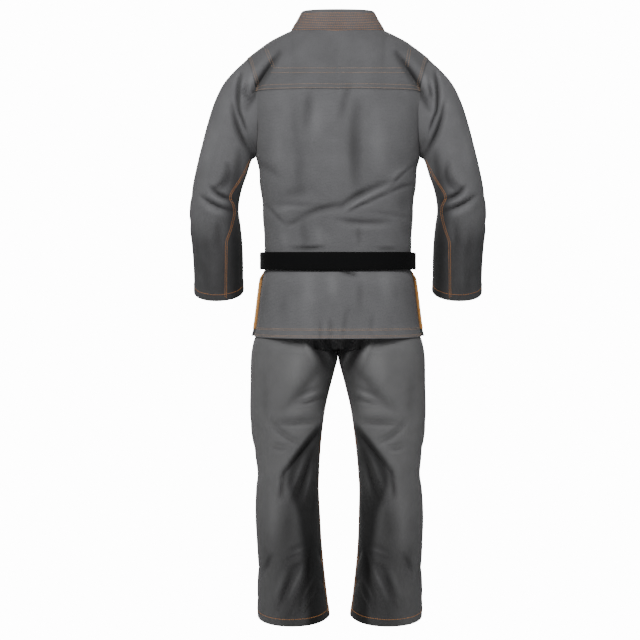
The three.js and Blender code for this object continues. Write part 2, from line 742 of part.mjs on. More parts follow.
function waistband() {
  const top = WAIST + SEAM_GAP;
  const points = steps(32).map((s) => [0, 1].map((k) => {
    const turn = s * 2 * Math.PI;
    const c = Math.cos(turn);
    const sn = Math.sin(turn);
    const grow = (Math.abs(c) ** SQUARENESS + Math.abs(sn) ** SQUARENESS) ** (-1 / SQUARENESS);
    const depth = sn > 0 ? SEAT.back(WAIST) : SEAT.front(WAIST);
    return vec(SEAT.width(WAIST) * c * grow, depth * sn * grow, top + k * WAISTBAND);
  }));
  return wall(points, WAISTBAND_THICK, 1, tube);
}

// Finishes
const cloth = (name, color) =>
  new THREE.MeshStandardMaterial({ name, color, roughness: 0.9, metalness: 0 });
const jacketCloth = cloth('jacket_cloth', 0x6f6f71);
const trouserCloth = cloth('trouser_cloth', 0x5f5e60);
const blackBelt = cloth('black_belt', 0x0b0b0b);
const orangeTape = cloth('orange_tape', 0xe69a52);

const pieces = [
  ['back_panel', backPanel(), jacketCloth],
  ['front_left', frontPanel(1), jacketCloth],
  ['front_right', frontPanel(-1), jacketCloth],
  ['shoulder_yoke', yokePanel(), jacketCloth],
  ['sleeve_left', sleeve(1), jacketCloth],
  ['sleeve_right', sleeve(-1), jacketCloth],
  ['collar_band', collarBand(), jacketCloth],
  ['vent_tape_left', ventTape(1), orangeTape],
  ['vent_tape_right', ventTape(-1), orangeTape],
  ['belt_inner_turn', beltTurn(0), blackBelt],
  ['belt_outer_turn', beltTurn(1), blackBelt],
  ['belt_knot', knotLoop(), blackBelt],
  ['belt_end_left', beltEnd(1), blackBelt],
  ['belt_end_right', beltEnd(-1), blackBelt],
  ['trouser_left', trouserLeg(1), trouserCloth],
  ['trouser_right', trouserLeg(-1), trouserCloth],
  ['waistband', waistband(), trouserCloth],
];

const uniform = new THREE.Group();
for (const [name, geometry, material] of pieces) {
  const mesh = new THREE.Mesh(geometry, material);
  mesh.name = name;
  uniform.add(mesh);
}

export default uniform;
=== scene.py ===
# Judo uniform as it is worn, with no wearer: a grey woven jacket with orange top-stitching, closed by
# a black belt, and trousers. It is seen from behind, as in the photo. Every piece lies where its solid
# in the frame lies. Sizes are in millimetres until a mesh is made, and meshes are in metres.
import math

import bpy
import numpy as np
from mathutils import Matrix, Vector


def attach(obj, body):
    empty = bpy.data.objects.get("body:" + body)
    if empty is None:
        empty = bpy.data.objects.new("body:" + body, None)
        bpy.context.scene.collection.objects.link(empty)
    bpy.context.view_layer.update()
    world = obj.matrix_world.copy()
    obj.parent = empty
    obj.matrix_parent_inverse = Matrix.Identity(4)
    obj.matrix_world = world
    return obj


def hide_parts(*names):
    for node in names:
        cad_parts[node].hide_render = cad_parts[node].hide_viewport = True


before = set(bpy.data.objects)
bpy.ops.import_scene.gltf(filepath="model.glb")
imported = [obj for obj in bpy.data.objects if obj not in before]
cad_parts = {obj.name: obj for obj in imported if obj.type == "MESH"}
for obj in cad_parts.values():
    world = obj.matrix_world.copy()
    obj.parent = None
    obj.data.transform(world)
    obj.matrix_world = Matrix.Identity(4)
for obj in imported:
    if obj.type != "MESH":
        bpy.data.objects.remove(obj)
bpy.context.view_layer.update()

scene = bpy.context.scene
SIDES = ((1, "left"), (-1, "right"))


# Studio
# A camera 3.8 m behind the uniform at waist height, a plain pale floor 0.26 m below the trousers, and
# four soft lights, all higher than the collar: behind, at both sides and in front.
EYE_DISTANCE = 3.8
EYE_HEIGHT = -0.529
FRAME_DOWN = -0.094
FRAME_ASIDE = -0.028
LENS_LENGTH = 91.7
FLOOR_HEIGHT = -1.62


def put(name, data, place, target):
    """Links a camera or lamp into the scene at a place, turned to a target. Both are in metres."""
    thing = bpy.data.objects.new(name, data)
    scene.collection.objects.link(thing)
    thing.location = place
    thing.rotation_euler = (Vector(target) - Vector(place)).to_track_quat("-Z", "Y").to_euler()
    return thing


eye = bpy.data.cameras.new("photo_camera")
eye.lens = LENS_LENGTH
eye.shift_x = FRAME_ASIDE
eye.shift_y = FRAME_DOWN
scene.camera = put("photo_camera", eye, (0.0, EYE_DISTANCE, EYE_HEIGHT), (0.0, 0.0, EYE_HEIGHT))

studio = bpy.data.worlds.new("pale_studio")
scene.world = studio
studio.use_nodes = True
surround = studio.node_tree.nodes["Background"]
surround.inputs["Color"].default_value = (1.0, 1.0, 1.0, 1.0)
SURROUND_SEEN = 14.0
SURROUND_LIGHT = 0.1
rays = studio.node_tree.nodes.new("ShaderNodeLightPath")
brightness = studio.node_tree.nodes.new("ShaderNodeMapRange")
brightness.inputs["To Min"].default_value = SURROUND_LIGHT
brightness.inputs["To Max"].default_value = SURROUND_SEEN
studio.node_tree.links.new(rays.outputs["Is Camera Ray"], brightness.inputs["Value"])
studio.node_tree.links.new(brightness.outputs["Result"], surround.inputs["Strength"])


def softbox(name, place, target, width, height, power):
    lamp = bpy.data.lights.new(name, "AREA")
    lamp.shape = "RECTANGLE"
    lamp.size = width
    lamp.size_y = height
    lamp.energy = power
    put(name, lamp, place, target)


softbox("key_light", (0.3, 2.3, 0.9), (0.0, 0.0, -0.3), 1.2, 0.8, 60)
softbox("left_light", (2.3, 1.5, 0.5), (0.0, 0.0, -0.4), 0.9, 1.2, 5)
softbox("right_light", (-2.3, 1.5, 0.5), (0.0, 0.0, -0.4), 0.9, 1.2, 5)
softbox("front_light", (0.4, -3.0, 1.0), (0.0, 0.0, -0.6), 2.0, 1.4, 90)

floor_mesh = bpy.data.meshes.new("floor")
floor_corners = [(-2.5, -0.75), (2.5, -0.75), (2.5, 0.75), (-2.5, 0.75)]
floor_mesh.from_pydata([(x, y, FLOOR_HEIGHT) for x, y in floor_corners], [], [(0, 1, 2, 3)])
floor = bpy.data.objects.new("floor", floor_mesh)
scene.collection.objects.link(floor)
pale = bpy.data.materials.new("pale_floor")
pale.use_nodes = True
pale.node_tree.nodes["Principled BSDF"].inputs["Base Color"].default_value = (0.9, 0.9, 0.9, 1.0)
pale.node_tree.nodes["Principled BSDF"].inputs["Roughness"].default_value = 0.9
floor_mesh.materials.append(pale)


# Back panel
# One panel of heavy pearl-weave cotton from the hem to the shoulder seams, closed at the sides above
# the vents. The belt presses it in at the waist, and it hangs in soft folds above that.
JACKET_CLOTH = 2.0
SEAM_GAP = 0.3
HEM = -707.0
ARMPIT = -291.0
VENT_TOP = -551.0
SHOULDER_Y = 8.0
NECK = 0.34
NECK_WIDTH = 108.0
NAPE_REACH = 58.0
THROAT_REACH = 50.0
THROAT_DROP = 20.0
SQUARENESS = 2.4
BELT_WIDTH = 40.0
BELT_MIDDLE = -531.0
BELT_LOW = BELT_MIDDLE - BELT_WIDTH / 2 - 2
BELT_HIGH = BELT_MIDDLE + BELT_WIDTH / 2 + 2


def steps(count):
    return np.linspace(0.0, 1.0, count + 1)


def lerp(a, b, s):
    return a + (b - a) * s


def smooth(x, low, high):
    s = np.clip((x - low) / (high - low), 0.0, 1.0)
    return s * s * (3 - 2 * s)


def hermite(s, a, b, leave, arrive):
    s2 = s * s
    s3 = s2 * s
    start = (2 * s3 - 3 * s2 + 1) * a + (s3 - 2 * s2 + s) * leave
    return start + (3 * s2 - 2 * s3) * b + (s3 - s2) * arrive


def curve(at, value):
    """A smooth curve through measured values, read at any place."""
    at = np.array(at, float)
    value = np.array(value, float)
    last = len(at) - 1
    before = np.maximum(np.arange(last + 1) - 1, 0)
    after = np.minimum(np.arange(last + 1) + 1, last)
    slope = (value[after] - value[before]) / (at[after] - at[before])

    def read(x):
        x = np.asarray(x, float)
        i = np.searchsorted(at[1:-1], x, side="left")
        span = at[i + 1] - at[i]
        s = np.clip((x - at[i]) / span, 0.0, 1.0)
        return hermite(s, value[i], value[i + 1], slope[i] * span, slope[i + 1] * span)

    return read


def measured(names, rows):
    """The named columns of a table, each as a curve read by the first column."""
    columns = list(zip(*rows))
    return {name: curve(columns[0], column) for name, column in zip(names.split(), columns[1:])}


TORSO = measured("width back front", [
    (-707, 193.5, 130, 122),
    (-688, 189, 127, 121),
    (-655, 184.5, 124, 119),
    (-617, 180, 121, 116),
    (-580, 175, 116, 112),
    (-553, 170, 104, 105),
    (-509, 170, 103.5, 105),
    (-468, 171, 104, 109),
    (-431, 174, 107, 112),
    (-394, 175, 111, 115),
    (-356, 181, 115, 118),
    (-319, 183, 118, 120),
    (-291, 190, 119, 121),
])
SHOULDER = measured("x z", [
    (NECK, NECK_WIDTH, 2),
    (0.63, 154, -21),
    (0.79, 180, -39),
    (0.95, 205, -58),
    (1, 213, -65),
])
RISE = "leave_x leave_y leave_z arrive_x arrive_y arrive_z"
BACK_RISE = measured(RISE, [
    (0, 0, 30, 300, 0, -110, 240),
    (NECK, 0, 40, 290, 0, -304, 40),
    (0.6, -5, 70, 260, 10, -322, 45),
    (0.8, -20, 130, 220, 35, -294, 50),
    (1, -50, 260, 150, 74, -250, 60),
])
FRONT_RISE = measured(RISE, [
    (0, 0, -40, 300, 0, 212, 100),
    (NECK, 0, -90, 290, 0, 313, 40),
    (0.6, -5, -140, 260, 10, 286, 45),
    (0.8, -25, -180, 220, 45, 264, 50),
    (1, -80, -200, 150, 92, 220, 60),
])


def rounded(c, s, squareness):
    return (np.abs(c) ** squareness + np.abs(s) ** squareness) ** (-1 / squareness)


def torso_ring(across, height, face):
    """A level ring round the trunk. across runs from 1 at the left side to -1 at the right."""
    turn = (1 - across) * np.pi / 2
    c = np.cos(turn)
    s = np.sin(turn)
    grow = rounded(c, s, SQUARENESS)
    depth = TORSO["back"](height) if face > 0 else TORSO["front"](height)
    x = TORSO["width"](height) * c * grow
    y = face * depth * s * grow
    if face < 0:
        from_side = np.minimum(turn, np.pi - turn)
        near = np.maximum(0.0, 1 - from_side / math.radians(25)) ** 2
        opened = near * (1 - smooth(height, VENT_TOP - 24, VENT_TOP - 2))
        x = x + np.sign(c) * 8 * opened
        y = y - 20 * opened
    return np.stack([x, y, height + 0 * x], axis=-1)


def top_line(across, face):
    """The shoulder seam, and between the shoulders the neckline."""
    size = np.abs(across)
    side = np.sign(across)
    share = np.clip(across / NECK, -1, 1)
    if face > 0:
        turn = share * np.pi / 2
        neck = [NECK_WIDTH * np.sin(turn), SHOULDER_Y + NAPE_REACH * np.cos(turn), 2 - 6 * np.cos(turn)]
    else:
        middle = 1 - share * share
        neck = [NECK_WIDTH * share, SHOULDER_Y - THROAT_REACH * middle, 2 - THROAT_DROP * middle]
    seam = [side * SHOULDER["x"](size), SHOULDER_Y + 0 * size, SHOULDER["z"](size)]
    at_seam = (size >= NECK)[..., None]
    return np.where(at_seam, np.stack(seam, axis=-1), np.stack(neck, axis=-1))


def plain_body(across, level, face):
    """The jacket's body without folds. Above the armpit, level runs on to 0 at the shoulder seam."""
    across, level = np.broadcast_arrays(np.asarray(across, float), np.asarray(level, float))
    low = torso_ring(across, np.minimum(level, ARMPIT), face)
    s = np.clip(1 - level / ARMPIT, 0.0, 1.0)
    top = top_line(across, face)
    size = np.abs(across)
    side = np.sign(across)
    rise = BACK_RISE if face > 0 else FRONT_RISE
    high = np.stack([
        hermite(s, low[..., 0], top[..., 0], side * rise["leave_x"](size), side * rise["arrive_x"](size)),
        hermite(s, low[..., 1], top[..., 1], rise["leave_y"](size), rise["arrive_y"](size)),
        hermite(s, low[..., 2], top[..., 2], rise["leave_z"](size), rise["arrive_z"](size)),
    ], axis=-1)
    return np.where((level > ARMPIT)[..., None], high, low)


# Creases are placed where the photo shows them: across and down are in its pixels of 2.33 mm, with the
# middle of the back at 338 across and the collar's base at 33 down. bend bulges to the left on the way
# down. spread is the half width and height is how far the cloth stands out, or sinks below zero.
PIXEL = 2.33
MIDDLE_ACROSS = 338.0
BASE_DOWN = 33.0


def seen(points, face):
    """Where points show in the photo. The hidden front is read straight through the back."""
    far_away = EYE_DISTANCE * 1000
    growth = far_away / (far_away - points[..., 1]) if face > 0 else 1.0
    level = EYE_HEIGHT * 1000
    x = points[..., 0] * growth
    z = level + (points[..., 2] - level) * growth
    return MIDDLE_ACROSS - x / PIXEL, BASE_DOWN - z / PIXEL


def crease(a, d, run_a, run_d, bend, reach, height):
    """How far one crease lifts the cloth at a and d from its start. Its end is at run_a and run_d."""
    length = math.hypot(run_a, run_d)
    along = (a * run_a + d * run_d) / length
    share = np.clip(along / length, 0.0, 1.0)
    beside = (d * run_a - a * run_d) / length - bend * 4 * share * (1 - share)
    away = np.hypot(beside, along - share * length) / reach
    return height * np.exp(-away * away) * np.sin(np.pi * lerp(0.1, 0.9, share))


def relief(creases, across, down):
    total = np.zeros_like(across)
    for a0, d0, a1, d1, bend, spread, height in creases:
        reach = spread / PIXEL
        near = (across > min(a0, a1) - 3 * reach - abs(bend)) & (across < max(a0, a1) + 3 * reach + abs(bend))
        near &= (down > min(d0, d1) - 3 * reach - abs(bend)) & (down < max(d0, d1) + 3 * reach + abs(bend))
        total[near] += crease(across[near] - a0, down[near] - d0, a1 - a0, d1 - d0, bend, reach, height)
    return total


DEPTH_OF_FOLDS = 1.15


def mirrored(creases):
    """The same creases on the other side of the uniform."""
    both = [(2 * MIDDLE_ACROSS - a0, d0, 2 * MIDDLE_ACROSS - a1, d1, -bend, spread, height)
            for a0, d0, a1, d1, bend, spread, height in creases]
    return creases + both


SHOULDER_CREASES = mirrored([
    (279, 54, 245, 107, 1, 7.5, -17),
    (268, 56, 240, 92, 1, 9, 4),
    (247, 81, 242, 97, 0, 4, -10),
    (240, 72, 238.5, 114, 2, 4.5, -15),
    (238.5, 110, 246, 131, 0, 4, -8),
    (231, 104, 254, 160, 4, 6.5, -12),
    (246, 140, 262, 152, 0, 9, -3),
])
BACK_CREASES = SHOULDER_CREASES + [
    (310, 92, 305, 130, 0, 10, -5),
    (294, 102, 297, 152, 0, 11, -2.5),
    (320, 104, 316, 150, 1, 16, 3),
    (349, 86, 341, 122, 1, 9, -5),
    (357, 104, 358, 192, 2, 14, -8),
    (378, 110, 380, 170, 0, 20, 4),
    (300, 146, 299, 190, 0, 13, -4),
    (277, 120, 276, 170, 0, 18, 3),
    (387, 183, 341, 207, 2, 8, -8),
    (342, 206, 295, 221, 3, 8, -7),
    (394, 184, 346, 210, 1, 6, 4),
    (414, 184, 393, 191.5, 1, 5, -6),
    (394, 191, 350, 211.5, 1, 4.5, -6),
    (417, 163, 388, 189, 1, 4, -5),
    (412, 168, 388, 186, 4, 8, 3),
    (338, 220, 389, 222, 2, 7, -5),
    (345, 228, 392, 229, 0, 10, 2),
    (373, 212, 413, 218, 0, 5, -2.5),
    (404, 196, 406, 212, 0, 12, -3),
    (407, 224, 405, 238, 0, 10, -2.5),
    (359, 229, 360, 245, 0, 5.5, -3.5),
    (292, 249, 324, 249, 0, 5, -11),
    (379, 249.5, 396, 249.5, 0, 4.5, -10),
    (265, 202, 287, 226, 1, 5.5, -5),
    (286, 226, 298, 220.5, 0, 5.5, -5),
    (274, 214, 298, 206, 0, 9, 3),
    (257, 163, 278, 176, -1, 8, -4),
    (283, 197, 309, 189, 0, 14, -4),
    (271, 204, 318, 206, 0, 7, -3),
    (302, 222, 306, 247, 0, 10, -4),
    (318, 228, 320, 246, 0, 12, 3),
    (282, 232, 284, 247, 0, 10, 2.5),
    (341, 272.5, 358, 276, 0, 5, -9),
    (274, 272, 296, 274, 0, 5, -2),
    (307, 272, 309, 322, 0, 16, 3),
    (331, 270, 334, 300, 0, 13, 3),
    (360, 284, 361, 312, 0, 8, -3),
    (348, 310, 344, 341, 1, 6, -3),
    (320, 322, 320, 342, 0, 4, -2.5),
    (331, 320, 331, 342, 0, 4, -2.5),
    (325.5, 322, 325.5, 342, 0, 4, 2),
    (264, 278, 261, 326, 0, 10, -3),
    (385, 273, 388, 304, 0, 15, 4),
    (372, 314, 370, 336, 0, 7, -3),
    (408, 284, 413, 322, 0, 11, -3),
    (284, 286, 283, 334, 0, 13, -2),
]
ARM_CREASES = mirrored([
    (211, 188.5, 231, 200, 2, 7, -12),
    (228, 166, 214, 190, -5, 8, -13),
    (209, 194, 230, 205, 1, 4.5, 3),
    (200, 196, 232, 211.5, 2, 5.5, -9),
    (197, 202, 228, 218, 2, 8, 2.5),
    (220, 221, 216.5, 251, 1, 9, -7),
    (204, 238, 208, 262, 0, 9, -2.5),
    (207, 120, 202, 165, 1, 16, 3),
    (240, 152, 233, 186, -1, 9, -12),
    (212, 252, 214, 292, 0, 10, 2.5),
    (204, 268, 206, 296, 0, 8, -2),
])


def body(across, level, face):
    """The jacket's body with its folds, which die out at the seams and under the belt."""
    across, level = np.broadcast_arrays(np.asarray(across, float), np.asarray(level, float))
    point = plain_body(across, level, face)
    s = np.clip(1 - level / ARMPIT, 0.0, 1.0)
    round_back = np.abs(np.sin((1 - across) * np.pi / 2))
    opened = lerp(round_back, 1.0, smooth(s, 0, 0.3)) * (1 - smooth(s, 0.88, 1))
    weight = np.where(s > 0, opened, round_back)
    weight = weight * smooth(np.abs(point[..., 2] - BELT_MIDDLE), BELT_WIDTH * 0.5, BELT_WIDTH * 0.95)
    creases = BACK_CREASES + ARM_CREASES if face > 0 else FRONT_CREASES
    lift = face * DEPTH_OF_FOLDS * weight * relief(creases, *seen(point, face))
    return point + lift[..., None] * np.array([0.0, 1.0, 0.0])


FRONT_CREASES = [
    (274, 66, 254, 118, 1, 9, -9),
    (401, 68, 423, 120, 1, 9, -9),
    (268, 160, 312, 205, 2, 10, -5),
    (408, 166, 372, 214, -2, 10, -5),
    (290, 150, 322, 190, 1, 12, 4),
    (390, 150, 366, 176, 0, 12, 4),
    (272, 226, 314, 242, 1, 7, -6),
    (404, 222, 362, 243, -1, 7, -6),
    (286, 214, 326, 232, 1, 9, 4),
    (392, 210, 356, 230, 0, 9, 4),
    (300, 205, 300, 246, 0, 6, -3),
    (268, 280, 300, 276, 0, 6, -4),
    (408, 282, 376, 276, 0, 6, -4),
    (288, 284, 286, 336, 0, 12, -4),
    (388, 284, 392, 336, 0, 12, -4),
    (310, 280, 306, 338, 1, 12, 4),
    (364, 282, 368, 338, 0, 14, 4),
]


def shade_in_folds(points, creases):
    """Painted shade: the colour looks darker down in each fold, where less light gets in."""
    height = np.clip(relief(creases, *seen(points, 1)), -18, 9)
    return np.where(points[..., 1] > 0, np.exp(height * 0.065), 1.0)


def unit(vectors):
    return vectors / np.maximum(np.linalg.norm(vectors, axis=-1, keepdims=True), 1e-9)


def grid_normals(points, facing, joined=None):
    across = np.gradient(points, axis=0)
    if joined is not None:
        wide = np.concatenate([points[-2:-1], points, points[1:2]])
        across = np.where(joined[None, :, None], (wide[2:] - wide[:-2]) / 2, across)
    along = np.gradient(points, axis=1)
    return unit(np.cross(across, along)) * facing


def run_lengths(points, axis):
    """How far each point of a grid is along its row or column of cloth."""
    gaps = np.linalg.norm(np.diff(points, axis=axis), axis=-1)
    gaps = np.cumsum(gaps, axis=axis)
    start = np.zeros_like(np.take(gaps, [0], axis=axis))
    return np.concatenate([start, gaps], axis=axis)


def cloth_piece(name, middle, thick, facing, material, joined=None, painted_shading=None, proud=0.0):
    """A shell of cloth on a grid of points, half its thickness to each side.

    joined says for each row along whether it closes on itself into a ring. The shading argument is
    painted light and shade, which darkens or lightens the colour from place to place, and proud is how
    far the outside stands out further, as over a hem.
    """
    columns = middle.shape[0] - 1
    rows = middle.shape[1] - 1
    normals = grid_normals(middle, facing, joined)
    half = np.broadcast_to(np.asarray(thick, float) / 2, middle.shape[:2])[..., None]
    outer = middle + normals * (half + np.broadcast_to(proud, middle.shape[:2])[..., None])
    inner = middle - normals * half
    closed = np.zeros(rows + 1, bool) if joined is None else joined
    ids = np.arange((columns + 1) * (rows + 1)).reshape(columns + 1, rows + 1)
    ids[columns, closed] = ids[0, closed]
    inner_ids = ids + (columns + 1) * (rows + 1)

    def quads(table, other=None):
        if other is not None:
            return np.stack([table[:-1], table[1:], other[1:], other[:-1]], axis=-1).reshape(-1, 4)
        corners = [table[:-1, :-1], table[1:, :-1], table[1:, 1:], table[:-1, 1:]]
        return np.stack(corners, axis=-1).reshape(-1, 4)

    places = np.arange((columns + 1) * (rows + 1)).reshape(columns + 1, rows + 1)
    open_rows = ~(closed[:-1] & closed[1:])
    parts = [
        (quads(ids), quads(places)),
        (quads(inner_ids)[:, ::-1], quads(places)[:, ::-1]),
        (quads(ids[:, 0], inner_ids[:, 0])[:, ::-1], quads(places[:, 0], places[:, 0])[:, ::-1]),
        (quads(ids[:, -1], inner_ids[:, -1]), quads(places[:, -1], places[:, -1])),
        (quads(ids[0], inner_ids[0])[open_rows], quads(places[0], places[0])[open_rows]),
        (quads(ids[-1], inner_ids[-1])[open_rows, ::-1], quads(places[-1], places[-1])[open_rows, ::-1]),
    ]
    faces = np.concatenate([part[0] for part in parts])
    spots = np.concatenate([part[1] for part in parts])
    if facing < 0:
        faces = faces[:, ::-1]
        spots = spots[:, ::-1]
    vertices = np.concatenate([outer.reshape(-1, 3), inner.reshape(-1, 3)])
    used, packed = np.unique(faces, return_inverse=True)
    mesh = bpy.data.meshes.new(name)
    mesh.from_pydata((vertices[used] / 1000).tolist(), [], packed.reshape(-1, 4).tolist())
    wide = run_lengths(middle, 0)
    wide = wide - wide[columns // 2][None]
    long = run_lengths(middle, 1)
    layer = mesh.uv_layers.new(name="cloth")
    flat = np.stack([wide.reshape(-1), long.reshape(-1)], axis=-1)[spots.reshape(-1)] / 1000
    layer.data.foreach_set("uv", flat.reshape(-1).astype(np.float32))
    # Painted light and shade, kept on the mesh as a number that the cloth's shader multiplies its colour by.
    dye_and_painted_shade = np.ones(middle.shape[:2]) if painted_shading is None else np.broadcast_to(painted_shading, middle.shape[:2])
    dye_and_painted_shade = np.concatenate([dye_and_painted_shade.reshape(-1), dye_and_painted_shade.reshape(-1)])[used]
    mesh.attributes.new("painted_shading", "FLOAT", "POINT").data.foreach_set("value", dye_and_painted_shade.astype(np.float32))
    mesh.polygons.foreach_set("use_smooth", [True] * len(mesh.polygons))
    mesh.set_sharp_from_angle(angle=math.radians(55))
    mesh.materials.append(material)
    piece = bpy.data.objects.new(name, mesh)
    scene.collection.objects.link(piece)
    return piece, {"points": outer, "normals": normals, "wide": wide, "long": long}


def feed(tree, node, inputs):
    """Sets each named input of a node to a value, or links it to the output that is given for it."""
    for socket, value in inputs.items():
        if isinstance(value, bpy.types.NodeSocket):
            tree.links.new(value, node.inputs[socket])
        else:
            node.inputs[socket].default_value = value


def add_node(tree, kind, inputs, **settings):
    """Adds a shader node with its settings and inputs, and gives back its outputs."""
    node = tree.nodes.new(kind)
    for setting, value in settings.items():
        setattr(node, setting, value)
    feed(tree, node, inputs)
    return node.outputs


BRIGHTEST_DYE = 1.3


def woven(name, dye_and_painted_shade, grain_width, grain_length, depth, irregular, sheen):
    """Cotton cloth: rows of small raised grains of yarn, loose fibres and uneven colour, with painted shade
    in the gaps between grains and the mesh's painted light and shade on top.
    """
    material = bpy.data.materials.new(name)
    material.use_nodes = True
    tree = material.node_tree
    on_cloth = add_node(tree, "ShaderNodeUVMap", {}, uv_map="cloth")["UV"]
    place = add_node(tree, "ShaderNodeTexCoord", {})["Object"]
    scaled = add_node(tree, "ShaderNodeMapping", {
        "Vector": on_cloth,
        "Scale": (1000 / grain_width, 1000 / grain_length, 1.0),
        "Rotation": (0.0, 0.0, math.radians(3)),
    })["Vector"]
    grains = add_node(tree, "ShaderNodeTexVoronoi", {"Vector": scaled, "Scale": 1.0, "Randomness": irregular},
                      voronoi_dimensions="2D")["Distance"]
    fibres = add_node(tree, "ShaderNodeTexNoise", {"Vector": place, "Scale": 900.0, "Detail": 3.0})["Fac"]
    patches = add_node(tree, "ShaderNodeTexNoise", {"Vector": place, "Scale": 22.0, "Detail": 5.0})["Fac"]
    dips = add_node(tree, "ShaderNodeMapRange", {
        "Value": grains, "From Min": 0.15, "From Max": 0.75, "To Min": 1.0, "To Max": 0.0})["Result"]
    yarn = add_node(tree, "ShaderNodeMath", {0: fibres, 1: 0.35, 2: dips}, operation="MULTIPLY_ADD")["Value"]
    bump = add_node(tree, "ShaderNodeBump", {
        "Height": yarn, "Strength": 0.8, "Distance": depth / 1000})["Normal"]
    shades = add_node(tree, "ShaderNodeMapRange", {
        "Value": patches, "From Min": 0.3, "From Max": 0.7, "To Min": 0.93, "To Max": 1.07})["Result"]
    # Painted shade: the colour is darker in the gaps between the grains and lighter on their tops.
    gaps = add_node(tree, "ShaderNodeMapRange", {"Value": dips, "To Min": 0.72, "To Max": 1.1})["Result"]
    # Painted light and shade from the mesh darkens or lightens the colour here.
    painted_shading = add_node(tree, "ShaderNodeAttribute", {}, attribute_name="painted_shading")["Fac"]
    shaded = add_node(tree, "ShaderNodeMath", {0: shades, 1: gaps}, operation="MULTIPLY")["Value"]
    dye_with_painted_shading = add_node(tree, "ShaderNodeMath", {0: shaded, 1: painted_shading}, operation="MULTIPLY")["Value"]
    share = add_node(tree, "ShaderNodeMath", {0: dye_with_painted_shading, 1: BRIGHTEST_DYE}, operation="DIVIDE")["Value"]
    colour = add_node(tree, "ShaderNodeMix", {
        "Factor": share,
        "A": (0.0, 0.0, 0.0, 1.0),
        "B": (dye_and_painted_shade[0] * BRIGHTEST_DYE, dye_and_painted_shade[1] * BRIGHTEST_DYE, dye_and_painted_shade[2] * BRIGHTEST_DYE, 1.0),
    }, data_type="RGBA", blend_type="MIX")["Result"]
    feed(tree, tree.nodes["Principled BSDF"], {
        "Base Color": colour,
        "Normal": bump,
        "Roughness": 0.92,
        "Specular IOR Level": 0.18,
        "Sheen Weight": sheen,
        "Sheen Roughness": 0.45,
    })
    return material


def rgb(red, green, blue):
    """A colour as it looks on a screen, for the shaders."""
    return [((c / 255 + 0.055) / 1.055) ** 2.4 if c > 10 else c / 3295 for c in (red, green, blue)]


pearl_weave = woven("grey_pearl_weave", rgb(113, 113, 115), 2.1, 3.0, 0.55, 0.35, 0.12)


def twisted(name, dark, light):
    """Sewing thread, mottled between two dyes."""
    material = bpy.data.materials.new(name)
    material.use_nodes = True
    tree = material.node_tree
    twist = add_node(tree, "ShaderNodeTexNoise", {"Scale": 700.0})["Fac"]
    colour = add_node(tree, "ShaderNodeMix", {
        "Factor": twist, "A": (*dark, 1.0), "B": (*light, 1.0)}, data_type="RGBA")["Result"]
    feed(tree, tree.nodes["Principled BSDF"], {"Base Color": colour, "Roughness": 0.6, "Sheen Weight": 0.2})
    return material


thread = twisted("orange_thread", rgb(184, 144, 112), rgb(210, 170, 132))
bright_thread = twisted("bright_orange_thread", rgb(226, 140, 62), rgb(244, 168, 92))

STITCH = 3.4
STITCH_PITCH = 4.6
THREAD_WIDTH = 0.9
SEAM_PITCH = 4.2
SEAM_THREAD = 1.2


def read_along(places, run, points):
    """Points of a line at places along it, where run says how far along each given point lies."""
    return np.stack([np.interp(places, run, points[..., k]) for k in range(3)], axis=-1)


def eased(line):
    """The inner points of a line, each drawn a little towards its two neighbours."""
    return (line[:-2] + 2 * line[1:-1] + line[2:]) / 4


def stitching(name, rows, material=thread, width=THREAD_WIDTH, pitch=STITCH_PITCH):
    """Rows of lock-stitches. Each row is a line of points on the cloth and the cloth's normals there."""
    centres = []
    along = []
    normals = []
    for points, facings in rows:
        run = np.concatenate([[0.0], np.cumsum(np.linalg.norm(np.diff(points, axis=0), axis=1))])
        places = np.arange(pitch / 2, run[-1], pitch)
        centres.append(read_along(places, run, points))
        along.append(read_along(places + 1, run, points) - read_along(places - 1, run, points))
        normals.append(read_along(places, run, facings))
    centres = np.concatenate(centres)
    normals = unit(np.concatenate(normals))
    along = unit(np.concatenate(along))
    aside = unit(np.cross(normals, along))
    length = pitch * STITCH / STITCH_PITCH
    shape = [(-0.5, 0, 0.05)]
    for place in (-0.28, 0.28):
        shape += [(place, 1, 0.1), (place, 0, 0.75), (place, -1, 0.1), (place, 0, -0.5)]
    shape += [(0.5, 0, 0.05)]
    vertices = np.stack([
        centres + along * length * a + aside * width / 2 * b + normals * width / 2 * c
        for a, b, c in shape
    ], axis=1)
    faces = [(0, 2, 1), (0, 3, 2), (0, 4, 3), (0, 1, 4)]
    faces += [(1, 2, 6, 5), (2, 3, 7, 6), (3, 4, 8, 7), (4, 1, 5, 8)]
    faces += [(9, 5, 6), (9, 6, 7), (9, 7, 8), (9, 8, 5)]
    mesh = bpy.data.meshes.new(name)
    all_faces = [tuple(10 * n + k for k in face) for n in range(len(centres)) for face in faces]
    mesh.from_pydata((vertices.reshape(-1, 3) / 1000).tolist(), [], all_faces)
    mesh.polygons.foreach_set("use_smooth", [True] * len(mesh.polygons))
    mesh.materials.append(material)
    piece = bpy.data.objects.new(name, mesh)
    scene.collection.objects.link(piece)
    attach(piece, "root")
    return piece


def row_from_hem(cloth, distance, far=False):
    """A line at one distance from the start of each column of cloth, or from its far end."""
    lines = []
    for kind in ("points", "normals"):
        lines.append(np.array([read_along(run[-1] - distance if far else distance, run, line)
                               for run, line in zip(cloth["long"], cloth[kind])]))
    return lines


def column_from_edge(cloth, distance, first=0, last=None, end=0):
    """A line at one distance from the first or last column of cloth."""
    lines = []
    for kind in ("points", "normals"):
        line = []
        for j in range(cloth["points"].shape[1])[first:last]:
            wide = np.abs(cloth["wide"][:, j] - cloth["wide"][end, j])
            order = np.argsort(wide)
            line.append(read_along(distance, wide[order], cloth[kind][order, j]))
        lines.append(np.array(line))
    return lines


